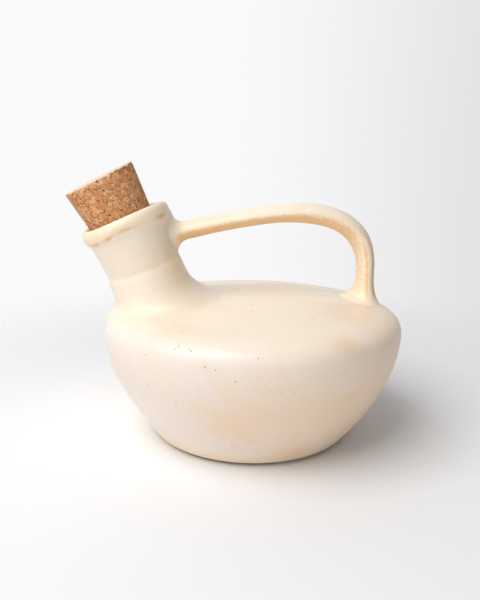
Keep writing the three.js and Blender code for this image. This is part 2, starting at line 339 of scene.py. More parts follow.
class Wires:
    """Adds nodes to a shader or geometry tree and joins them."""

    def __init__(self, tree: bpy.types.NodeTree) -> None:
        """Starts on a tree."""
        self.tree = tree

    @classmethod
    def of_material(cls, name: str) -> tuple[Material, "Wires", Socket]:
        """Starts a material.

        Args:
            name: the material's name.

        Returns:
            The material, the wiring of its empty tree and its Object coordinates.
        """
        made = bpy.data.materials.new(name)
        made.use_nodes = True
        made.node_tree.nodes.clear()
        wires = cls(made.node_tree)
        return made, wires, wires.node("ShaderNodeTexCoord").outputs["Object"]

    def node(self, kind: str, inputs: dict | None = None, **settings: object) -> bpy.types.Node:
        """Adds a node.

        Args:
            kind: the node's type name.
            inputs: sockets or plain values for its inputs, by name or place.
            **settings: properties of the node.

        Returns:
            The new node.
        """
        made = self.tree.nodes.new(kind)
        for key, value in settings.items():
            setattr(made, key, value)
        for key, value in (inputs or {}).items():
            self.feed(made.inputs[key], value)
        return made

    def feed(self, socket: Socket, value: object) -> None:
        """Fills an input.

        Args:
            socket: the input.
            value: a socket to link it to, or a plain value to set.
        """
        if isinstance(value, Socket):
            self.tree.links.new(value, socket)
        else:
            socket.default_value = value

    def math(self, operation: str, *values: object, clamp: bool = False) -> Socket:
        """Adds a Math node over one to three values."""
        inputs = dict(enumerate(values))
        return self.node("ShaderNodeMath", inputs, operation=operation, use_clamp=clamp).outputs[0]

    def times(self, *factors: object) -> Socket:
        """Multiplies values in turn."""
        return reduce(partial(self.math, "MULTIPLY"), factors)

    def plus(self, *terms: object) -> Socket:
        """Adds values in turn."""
        return reduce(partial(self.math, "ADD"), terms)

    def scaled(self, value: object, by: object, more: object, clamp: bool = False) -> Socket:
        """A value times another, and a third more."""
        return self.math("MULTIPLY_ADD", value, by, more, clamp=clamp)

    def swing(self, noise: Socket, amount: float, middle: float = 0.0) -> Socket:
        """A noise that swings by an amount about a middle."""
        return self.scaled(noise, amount, middle - amount / 2)

    def vector(self, operation: str, first: object, second: object) -> Socket:
        """Adds a Vector Math node over two vectors."""
        return self.node("ShaderNodeVectorMath", {0: first, 1: second}, operation=operation).outputs[0]

    def stretched(self, vector: object, scale: object) -> Socket:
        """A vector times a number."""
        return self.node("ShaderNodeVectorMath", {0: vector, "Scale": scale}, operation="SCALE").outputs[0]

    def step(self, value: object, low: object, high: object, to: Span = (0.0, 1.0)) -> Socket:
        """Adds a smooth step of a value from low to high."""
        inputs = {"Value": value, "From Min": low, "From Max": high, "To Min": to[0], "To Max": to[1]}
        return self.node("ShaderNodeMapRange", inputs, interpolation_type="SMOOTHSTEP").outputs["Result"]

    def mix(self, share: object, first: object, second: object, blend: str = "MIX") -> Socket:
        """Mixes two colours."""
        inputs = {0: share, 6: self.colour(first), 7: self.colour(second)}
        return self.node("ShaderNodeMix", inputs, data_type="RGBA", blend_type=blend).outputs[2]

    @staticmethod
    def colour(value: object) -> object:
        """Adds alpha to a plain colour."""
        return (*value, 1.0) if isinstance(value, tuple) else value

    def noise(
        self,
        at: Socket,
        size: float,
        detail: float = 2.0,
        rough: float = 0.5,
        warp: float = 0.0,
        out: int = 0,
    ) -> Socket:
        """Adds noise.

        Args:
            at: where it is read.
            size: size of its grains in millimetres.
            detail: how many finer layers it has.
            rough: how strong the finer layers are.
            warp: how far its lines wander.
            out: 0 for one number, 1 for three.

        Returns:
            The noise.
        """
        inputs = {"Vector": at, "Scale": 1 / (size * MM), "Detail": detail}
        inputs |= {"Roughness": rough, "Distortion": warp}
        return self.node("ShaderNodeTexNoise", inputs).outputs[out]

    def cells(self, at: Socket, size: float) -> bpy.types.Node:
        """Adds Voronoi cells of a size in millimetres."""
        return self.node("ShaderNodeTexVoronoi", {"Vector": at, "Scale": 1 / (size * MM)})

    def loosened(self, at: Socket, size: float, detail: float, reach: float) -> Socket:
        """Pushes places about by a noise, whose size and reach are in millimetres."""
        push = self.noise(at, size, detail, out=1)
        return self.vector("ADD", at, self.stretched(push, reach * MM))

    def split(self, value: object) -> list[Socket]:
        """Three numbers of a vector."""
        return list(self.node("ShaderNodeSeparateXYZ", {0: value}).outputs)

    def stored(self, share: Share) -> Socket:
        """A vertex map, read in a geometry tree."""
        inputs = {"Name": share.value}
        return self.node("GeometryNodeInputNamedAttribute", inputs, data_type="FLOAT").outputs[0]

    def bump(self, height: Socket, strength: float, depth: float) -> Socket:
        """Normal of a surface with a relief, whose depth is in millimetres."""
        inputs = {"Strength": strength, "Distance": depth * MM, "Height": height}
        return self.node("ShaderNodeBump", inputs).outputs[0]

    def seen(self) -> Socket:
        """Tells the rays that look from those that only light.

        Returns:
            1 for rays from the camera, mirrored or refracted.
        """
        path = self.node("ShaderNodeLightPath").outputs
        bent = self.math("MAXIMUM", path["Is Glossy Ray"], path["Is Transmission Ray"])
        return self.math("MAXIMUM", path["Is Camera Ray"], bent)

    def end(self, shader: bpy.types.Node) -> None:
        """Ends a material on a shader."""
        self.node("ShaderNodeOutputMaterial", {"Surface": shader.outputs[0]})

    def principled(self, inputs: dict[str, object]) -> None:
        """Ends a material on a Principled surface."""
        self.end(self.node("ShaderNodeBsdfPrincipled", inputs))


class Recipe:
    """A geometry tree with named inputs, which ends in Realize Instances and Set Material."""

    def __init__(self, name: str) -> None:
        """Starts a tree with a geometry and a material input.

        Args:
            name: the tree's name.
        """
        self.tree = bpy.data.node_groups.new(name, "GeometryNodeTree")
        self.tree.is_modifier = True
        self.wires = Wires(self.tree)
        self.identifiers: dict[str, str] = {}
        self.tree.interface.new_socket("Geometry", in_out="OUTPUT", socket_type="NodeSocketGeometry")
        self.source = self.tree.nodes.new("NodeGroupInput")
        self.geometry = self.add("Geometry", "NodeSocketGeometry")
        self.material = self.add("Material", "NodeSocketMaterial")

    def add(self, name: str, kind: str = "NodeSocketFloat") -> Socket:
        """Adds a named input.

        Args:
            name: the input's name.
            kind: type name of its socket.

        Returns:
            Its socket inside the tree.
        """
        item = self.tree.interface.new_socket(name, in_out="INPUT", socket_type=kind)
        self.identifiers[name] = item.identifier
        return next(s for s in self.source.outputs if s.identifier == item.identifier)

    def close(self, shape: Socket) -> None:
        """Ends the tree.

        Args:
            shape: the geometry that it ends on.
        """
        real = self.wires.node("GeometryNodeRealizeInstances", {0: shape}).outputs[0]
        dressed = self.wires.node("GeometryNodeSetMaterial", {"Geometry": real, "Material": self.material})
        self.wires.node("NodeGroupOutput", {0: dressed.outputs[0]})

    def close_moved(self, offset: Socket) -> None:
        """Ends the tree on its own geometry, each vertex moved by an offset."""
        inputs = {"Geometry": self.geometry, "Offset": offset}
        self.close(self.wires.node("GeometryNodeSetPosition", inputs).outputs[0])

    def apply(self, made: Object, material: Material, **values: object) -> Object:
        """Runs the tree on an object and keeps the result as its mesh.

        Args:
            made: the object, whose mesh is the tree's geometry.
            material: what the result is dressed in.
            **values: the other inputs, by their names.

        Returns:
            The same object with a plain mesh.
        """
        modifier = made.modifiers.new(self.tree.name, "NODES")
        modifier.node_group = self.tree
        for name, value in {"Material": material, **values}.items():
            modifier[self.identifiers[name]] = value
        return bake(made)


# Finishes


@dataclass(frozen=True)
class Coating:
    """What a glaze's colour, sheen and relief are wired from."""

    wires: Wires
    at: Socket  # Object coordinates
    coat: list[Socket]  # warm, thin and pooled shares
    marks: list[Socket]  # fleck, tan and bare shares
    brush: list[Socket]  # place across and along the strokes, and how much they show

    def strokes(self) -> Socket:
        """Streaks along the brush's path, each a little over a millimetre wide.

        Returns:
            A noise that is drawn out along the path.
        """
        across, along, _ = self.brush
        path = self.wires.node("ShaderNodeCombineXYZ", {0: across, 1: along}).outputs[0]
        inputs = {"Vector": path, "Scale": 1.0, "Detail": 3.0, "Roughness": 0.6}
        return self.wires.node("ShaderNodeTexNoise", inputs).outputs[0]


@dataclass(frozen=True)
class Glaze:
    """Satin ivory glaze that turns cream where it lies thick and breaks to orange where it runs thin."""

    name: str
    ivory: Colour = (0.87, 0.765, 0.685)
    cream: Colour = (0.95, 0.84, 0.685)
    # peach, orange and pooled also colour painted shade: peach on the right of the belly, orange on the
    # handle leg's outer side, pooled on the crown's far rim and under the handle
    peach: Colour = (0.89, 0.66, 0.45)
    orange: Colour = (0.83, 0.51, 0.24)
    pooled: Colour = (0.91, 0.71, 0.43)
    white: Colour = (0.90, 0.86, 0.82)
    clay: Colour = (0.50, 0.36, 0.25)
    roughness: float = 0.3
    roughness_swing: float = 0.12
    roughness_size: float = 9.0
    roughness_place: Place = (0.2, 0.5, 0.1)
    drier: float = 0.12  # rougher by this where it is thin
    duller: float = 0.5  # and by this where the clay is bare
    specular: float = 0.42
    cloud_size: float = 42.0
    cloud_swing: float = 0.8
    drift: Span = (0.44, 0.66)
    drift_place: Place = (0.3, 0.1, 0.7)
    drift_bare: float = 0.34  # the peach clouds show this much away from the brush
    drift_brushed: float = 0.6  # and this much more under it
    streaks: Span = (0.36, 0.66)
    streak_most: float = 0.75
    wiped: float = 0.6  # how much of a cloud the brush's hairs wiped off
    peach_most: float = 0.62
    mottle_size: float = 2.6
    pools: Span = (0.25, 0.7)
    pool_most: float = 0.8
    tans: Span = (0.3, 0.65)
    tan_least: float = 0.6
    flecks: Span = (0.5, 0.62)
    fringe_size: float = 1.6
    fringe_swing: float = 0.9
    breaks: Span = (0.42, 0.86)
    break_most: float = 0.85
    grain_size: float = 0.5
    speckle: float = 0.08
    dimple_size: float = 1.9
    dimple_depth: float = 0.03
    brush_relief: float = 0.35  # beside the dimples
    grit_relief: float = 3.0
    relief_strength: float = 0.5

    def material(self) -> Material:
        """Builds the procedural material.

        Returns:
            The material.
        """
        made, wires, at = Wires.of_material(self.name)
        maps = (wires.node("ShaderNodeAttribute", attribute_name=tint.value) for tint in Tint)
        on = Coating(wires, at, *(wires.split(read.outputs["Vector"]) for read in maps))
        colour, thin = self.colour(on)
        wires.principled({
            "Base Color": colour,
            "Roughness": self.sheen(on, thin),
            "IOR": 1.5,
            "Specular IOR Level": self.specular,
            "Normal": self.relief(on),
        })
        return made

    def peachy(self, on: Coating) -> Socket:
        """Share of peach: streaks where the brush went, and clouds that its hairs wiped through.

        Args:
            on: what the glaze is wired from.

        Returns:
            The share.
        """
        wires, shown = on.wires, on.brush[2]
        streaks = wires.step(on.strokes(), *self.streaks)
        swept = wires.times(shown, wires.scaled(streaks, self.streak_most, 1 - self.streak_most))
        elsewhere = wires.vector("ADD", on.at, self.drift_place)
        clouds = wires.noise(elsewhere, self.cloud_size, detail=5.0, rough=0.6, warp=1.2)
        wiped = wires.times(shown, wires.scaled(streaks, -self.wiped, self.wiped))
        drift = wires.times(wires.step(clouds, *self.drift), wires.math("SUBTRACT", 1.0, wiped))
        cloudy = wires.times(drift, wires.scaled(shown, self.drift_brushed, self.drift_bare))
        return wires.times(wires.math("ADD", swept, cloudy, clamp=True), self.peach_most)

    def colour(self, on: Coating) -> tuple[Socket, Socket]:
        """Colour of the glaze, layer over layer.

        Args:
            on: what the glaze is wired from.

        Returns:
            The colour, and the share of thin glaze.
        """
        wires, at = on.wires, on.at
        warm, thin, pooled = on.coat
        fleck, tan, bare = on.marks
        clouds = wires.noise(at, self.cloud_size, detail=4.0, rough=0.55, warp=0.6)
        mottle = wires.noise(at, self.mottle_size, detail=3.0, rough=0.6)
        fringe = wires.noise(at, self.fringe_size, detail=3.0, rough=0.65)
        grain = wires.noise(at, self.grain_size, detail=1.0)
        warmth = wires.math("ADD", warm, wires.swing(clouds, self.cloud_swing), clamp=True)
        broken = wires.step(wires.plus(thin, wires.swing(fringe, self.fringe_swing)), *self.breaks)
        # the thin, pooled and tan shares also hold painted shade from the pieces' maps
        layers = (
            (warmth, self.cream),
            (self.peachy(on), self.peach),
            (wires.times(pooled, wires.step(mottle, *self.pools), self.pool_most), self.pooled),
            (wires.times(tan, wires.step(mottle, *self.tans, (self.tan_least, 1.0))), self.peach),
            (wires.times(broken, self.break_most), self.orange),
            (wires.times(fleck, wires.step(mottle, *self.flecks)), self.white),
        )
        colour = self.ivory
        for share, layer in layers:
            colour = wires.mix(share, colour, layer)
        speckles = (wires.swing(noise, self.speckle, 1.0) for noise in (grain, mottle))
        colour = wires.mix(1.0, colour, wires.times(*speckles), "MULTIPLY")
        return wires.mix(bare, colour, self.clay), broken

    def sheen(self, on: Coating, thin: Socket) -> Socket:
        """Roughness: satin, a little drier where the glaze is thin, dull where the clay is bare.

        Args:
            on: what the glaze is wired from.
            thin: share of thin glaze.

        Returns:
            The roughness.
        """
        wires = on.wires
        elsewhere = wires.vector("ADD", on.at, self.roughness_place)
        uneven = wires.noise(elsewhere, self.roughness_size, detail=3.0)
        satin = wires.swing(uneven, self.roughness_swing, self.roughness)
        dry = wires.scaled(thin, self.drier, satin)
        return wires.scaled(on.marks[2], self.duller, dry, clamp=True)

    def relief(self, on: Coating) -> Socket:
        """Normal of the surface: shallow dimples, brush marks and the grit of bare clay.

        Args:
            on: what the glaze is wired from.

        Returns:
            The normal.
        """
        wires = on.wires
        dimples = wires.noise(on.at, self.dimple_size)
        lines = wires.times(on.strokes(), on.brush[2], self.brush_relief)
        grit = wires.times(wires.noise(on.at, self.grain_size), on.marks[2], self.grit_relief)
        return wires.bump(wires.plus(dimples, lines, grit), self.relief_strength, self.dimple_depth)


@dataclass(frozen=True)
class PinholeSpot:
    """Iron-brown bottom of a pinhole in the glaze."""

    name: str = "pinhole_brown"
    brown: Colour = (0.58, 0.32, 0.13)
    rim: Colour = (0.78, 0.57, 0.33)
    roughness: float = 0.45
    patch_size: float = 0.5
    patches: Span = (0.4, 0.75)

    def material(self) -> Material:
        """Builds the procedural material.

        Returns:
            The material.
        """
        made, wires, at = Wires.of_material(self.name)
        patches = wires.step(wires.noise(at, self.patch_size), *self.patches)
        wires.principled({
            "Base Color": wires.mix(patches, self.brown, self.rim),
            "Roughness": self.roughness,
        })
        return made


@dataclass(frozen=True)
class CorkGrain:
    """Pressed cork: grains of several browns, dark pits between them, partly painted shade, and a paler cut
    top.
    """

    name: str = "pressed_cork"
    dark: Colour = (0.50, 0.20, 0.07)
    brown: Colour = (0.68, 0.295, 0.115)
    tan: Colour = (0.82, 0.43, 0.20)
    pale: Colour = (0.90, 0.67, 0.41)
    speck: Colour = (0.15, 0.085, 0.05)
    # near black: the pores' own dark, with the shade inside them painted in
    pit: Colour = (0.02, 0.016, 0.014)
    cut: Colour = (0.86, 0.66, 0.52)
    cut_share: float = 0.8
    grain_size: float = 2.3
    uneven_size: float = 1.4
    pit_size: float = 2.1
    pit_share: float = 0.6  # of the cells have a pit
    pit_reach: float = 0.4  # of a cell's size, for the widest pit
    pit_least: float = 0.4  # the smallest pit, as a share of the widest
    pit_bottom: float = 0.45  # share of a pit's reach that is flat
    pit_dark_and_shade: float = 0.92
    crumb_size: float = 0.62
    pit_loose: Triple = (1.3, 1.0, 0.6)  # size, detail and reach of a noise that loosens the cells
    grain_loose: Triple = (0.9, 2.0, 0.7)
    browns: Span = (0.0, 0.55)
    tans: Span = (0.4, 1.0)
    roughness: float = 0.75
    roughness_swing: float = 0.15
    relief_strength: float = 0.6
    relief_depth: float = 0.06

    def pits(self, wires: Wires, at: Socket) -> Socket:
        """Depth share of the pits, the same for shape and colour.

        Args:
            wires: wiring of a shader or geometry tree.
            at: places on the cork.

        Returns:
            1 in the middle of a pit, 0 away from it.
        """
        cells = wires.cells(wires.loosened(at, *self.pit_loose), self.pit_size)
        chance, width, _ = wires.split(cells.outputs["Color"])
        least = self.pit_reach * self.pit_least
        reach = wires.scaled(width, self.pit_reach - least, least)
        near = wires.step(cells.outputs["Distance"], reach, wires.times(reach, self.pit_bottom))
        return wires.times(near, wires.math("LESS_THAN", chance, self.pit_share))

    def material(self) -> Material:
        """Builds the procedural material.

        Returns:
            The material.
        """
        made, wires, at = Wires.of_material(self.name)
        loose = wires.loosened(at, *self.grain_loose)
        tone = wires.split(wires.cells(loose, self.grain_size).outputs["Color"])[0]
        first, second, third = wires.split(wires.cells(loose, self.crumb_size).outputs["Color"])
        uneven = wires.noise(at, self.uneven_size, detail=3.0, rough=0.65)
        colour = wires.mix(wires.step(tone, *self.browns), self.dark, self.brown)
        colour = wires.mix(wires.step(tone, *self.tans), colour, self.tan)
        layers = (  # chance, the step in it, the most that shows, colour
            (uneven, (0.5, 0.75), 0.5, self.tan),
            (first, (0.84, 0.94), 0.75, self.pale),
            (second, (0.84, 0.93), 0.8, self.speck),
            (third, (0.7, 0.95), 0.45, self.dark),
        )
        for chance, span, most, layer in layers:
            colour = wires.mix(wires.times(wires.step(chance, *span), most), colour, layer)
        top = wires.node("ShaderNodeAttribute", attribute_name=Share.CUT_TOP.value).outputs["Fac"]
        colour = wires.mix(wires.times(top, self.cut_share), colour, self.cut)
        # partly painted shade: the pits that the recipe sinks are coloured near black
        colour = wires.mix(wires.times(self.pits(wires, at), self.pit_dark_and_shade), colour, self.pit)
        rough = wires.scaled(first, self.roughness_swing, self.roughness)
        height = wires.plus(first, wires.noise(at, self.crumb_size))
        normal = wires.bump(height, self.relief_strength, self.relief_depth)
        wires.principled({"Base Color": colour, "Roughness": rough, "Normal": normal})
        return made


# Marks that the maker and the kiln left, and a patch of painted shade, in the pot's frame


@dataclass(frozen=True)
class Sweep:
    """One stroke of a wide brush, along arcs about a point."""

    centre: Place
    normal: Place
    radius: Span
    angle: Span  # degrees, from the right and turning towards +Z
    strength: float = 1.0
    hair: float = 1.5
    length: float = 26.0
    inner_fade: float = 12.0
    outer_fade: float = 16.0
    full: float = 0.55  # share of the angle over which the stroke is at its full strength
    depth: Span = (-60.0, -40.0)  # it fades out this far behind its own plane

    def measure(self, points: Array) -> Array:
        """Place across and along the stroke, and its share.

        Args:
            points: places in millimetres.

        Returns:
            Three numbers for each place.
        """
        out = unit(np.asarray(self.normal, float))
        right = unit(np.cross((0.0, 0.0, 1.0), out))
        up = np.cross(out, right)
        offset = points - np.asarray(self.centre)
        x, y, depth = offset @ right, offset @ up, offset @ out
        reach = np.hypot(x, y)
        angle = np.degrees(np.arctan2(y, x)) % 360
        inner, outer = self.radius
        first, last = self.angle
        middle, half = (first + last) / 2, (last - first) / 2
        share = smooth(reach, inner, inner + self.inner_fade)
        share *= smooth(reach, outer, outer - self.outer_fade)
        share *= smooth(np.abs(angle_from(middle, angle)), half, half * self.full)
        share *= smooth(depth, *self.depth) * self.strength
        along = np.radians(angle) * (inner + outer) / 2 / self.length
        return np.stack([reach / self.hair, along, share], -1)


@dataclass(frozen=True)
class Patch:
    """A soft round patch on the surface."""

    centre: Place
    width: float
    strength: float = 1.0

    def share(self, points: Array) -> Array:
        """Strength of the patch at places in millimetres."""
        return self.strength * hump(np.linalg.norm(points - np.asarray(self.centre), axis=1), self.width)


@dataclass(frozen=True)
class KilnMarks:
    """Where the brush went and where flecks and tan patches lie; one broad tan patch is partly painted
    shade.
    """

    sweeps: tuple[Sweep, ...] = (
        Sweep((30, -74, 85), (0.05, -0.95, -0.3), (30, 92), (192, 330)),
        Sweep((-20, 78, 95), (-0.1, 0.95, -0.3), (34, 90), (200, 330), 0.8),
        Sweep((80, 24, 92), (0.95, 0.25, -0.3), (34, 90), (190, 320), 0.75),
    )
    flecks: tuple[Patch, ...] = (
        Patch((38.2, -56.8, 74.5), 6.0),
        Patch((47.1, -50.5, 74.4), 4.0, 0.8),
        Patch((-24.5, -67.5, 19.5), 5.0, 0.6),
        Patch((-30.0, 55.0, 74.0), 6.0, 0.8),
    )
    tans: tuple[Patch, ...] = (
        Patch((36.0, -73.2, 70.3), 5.0, 0.85),
        Patch((28.5, -75.4, 71.0), 4.0, 0.55),
        Patch((-19.0, -74.7, 31.9), 12.0, 0.55),
        Patch((-19.3, -65.3, 16.8), 1.3),
        Patch((12.6, -62.1, 10.0), 7.0, 1.1),
        Patch((25.0, 74.0, 68.0), 7.0, 0.7),
        # peach tone, partly painted shade: it darkens the right of the belly, where the wall turns from the
        # light
        Patch((68.0, -46.0, 52.0), 36.0, 0.8),
        Patch((28.0, -72.0, 34.0), 24.0, 0.4),
        Patch((14.0, -79.0, 48.0), 22.0, 0.3),
        Patch((-52.0, 58.0, 40.0), 34.0, 0.35),
        Patch((64.0, 46.0, 36.0), 26.0, 0.3),
    )

    def maps(self, points: Array, coat: Array, bare: Array) -> dict[str, Array]:
        """Vertex maps of a glazed piece.

        Args:
            points: its vertices in millimetres.
            coat: warm, thin and pooled shares of each.
            bare: share of bare clay of each.

        Returns:
            The maps by name.
        """
        strokes = np.stack([sweep.measure(points) for sweep in self.sweeps])
        strongest = strokes[:, :, 2].argmax(0)[None, :, None]
        fleck, tan = (sum(p.share(points) for p in group) for group in (self.flecks, self.tans))
        return {
            Tint.COAT.value: coat,
            Tint.MARKS.value: np.stack([fleck, tan, bare], -1),
            Tint.BRUSH.value: np.take_along_axis(strokes, strongest, 0)[0],
        }


# Pieces


@dataclass(frozen=True)
class Ridge:
    """A low ridge that the maker's hand left across the crown, a little behind its middle."""

    height: float = 2.2
    front: float = -30.0
    top: float = 20.0
    back: float = 62.0
    reach: Span = (68.0, 45.0)  # it runs out this far from the pot's axis
    high: Span = (98.0, 84.0)  # and stays on the top of the body
    low: Span = (66.0, 73.0)

    def lift(self, points: Array) -> Array:
        """How far the ridge lifts places, so that pieces that meet move alike.

        Args:
            points: places in millimetres.

        Returns:
            The lift of each.
        """
        x, y, z = points.T
        across = smooth(y, self.front, self.top) * smooth(y, self.back, self.top)
        near = smooth(np.hypot(x, y), *self.reach)
        return self.height * across * near * smooth(z, *self.high) * smooth(z, *self.low)


@dataclass
class Shaper:
    """What every glazed piece is made with: its recipe, its finishes and the marks on it."""

    ivory: Material
    cream: Material
    marks: KilnMarks = KilnMarks()
    ridge: Ridge = Ridge()
    swell: float = 0.9
    swell_size: float = 62.0
    dents: float = 0.22
    dent_size: float = 14.0
    sharp: float = 40.0  # degrees
    least_weight: float = 0.01  # a vertex below it takes no shading from its neighbour

    def __post_init__(self) -> None:
        """Builds the recipe that all glazed pieces share."""
        self.recipe = self.clay_recipe()

    @staticmethod
    def clay_recipe() -> Recipe:
        """Recipe for clay shaped by hand: a slow swell and small dents, alike where two pieces meet.

        Returns:
            The recipe.
        """
        recipe = Recipe("hand_shaped_clay")
        wires = recipe.wires
        swell = recipe.add("Swell"), recipe.add("Swell_size")
        dents = recipe.add("Dents"), recipe.add("Dent_size")
        place = wires.node("GeometryNodeInputPosition").outputs[0]
        share = wires.stored(Share.HAND)
        moves = []
        for height, size in (swell, dents):
            scale = wires.math("DIVIDE", 1.0, size)
            waves = wires.node("ShaderNodeTexNoise", {"Vector": place, "Scale": scale, "Detail": 1.0})
            centred = wires.vector("SUBTRACT", waves.outputs[1], (0.5, 0.5, 0.5))
            moves.append(wires.stretched(centred, wires.times(height, share)))
        recipe.close_moved(wires.vector("ADD", *moves))
        return recipe

    def make(
        self,
        name: str,
        skin: Skin,
        coat: Array,
        hand: Array | float,
        material: Material,
        bare: Array | float = 0.0,
    ) -> Object:
        """Makes one glazed piece from its skin.

        Args:
            name: the piece's name.
            skin: its closed skin.
            coat: warm, thin and pooled shares, three for each vertex.
            hand: share of the hand's unevenness, one for each vertex.
            material: its glaze.
            bare: share of bare clay.

        Returns:
            The piece with a plain mesh.
        """
        points = skin.points
        hand, bare = (np.zeros(len(points)) + share for share in (hand, bare))
        skin.maps.update(self.marks.maps(points, coat, bare))
        skin.maps[Share.HAND.value] = hand
        lifted = np.zeros_like(points)
        lifted[:, 2] = hand * self.ridge.lift(points)
        skin.shift(lifted)
        return self.recipe.apply(
            skin.mesh_object(name, self.sharp),
            material,
            Swell=self.swell * MM,
            Swell_size=self.swell_size * MM,
            Dents=self.dents * MM,
            Dent_size=self.dent_size * MM,
        )

    def join_seam(self, made: Object, host: Object, seam: Share) -> None:
        """Lets the shading of drawn-out clay run on into the piece that it lies on.

        Args:
            made: the piece with the drawn-out clay.
            host: the piece under it.
            seam: vertex map with 1 where the clay runs out.
        """
        values = read_share(made, seam)
        weights = made.vertex_groups.new(name="runs_out")
        for index in np.flatnonzero(values > self.least_weight):
            weights.add([int(index)], float(values[index]), "REPLACE")
        transfer = made.modifiers.new("runs_out", "DATA_TRANSFER")
        transfer.object = host
        transfer.use_loop_data = True
        transfer.data_types_loops = {"CUSTOM_NORMAL"}
        transfer.loop_mapping = "POLYINTERP_NEAREST"
        transfer.vertex_group = weights.name
        bake(made)
        made.vertex_groups.clear()
        made.data.attributes.remove(made.data.attributes[seam.value])


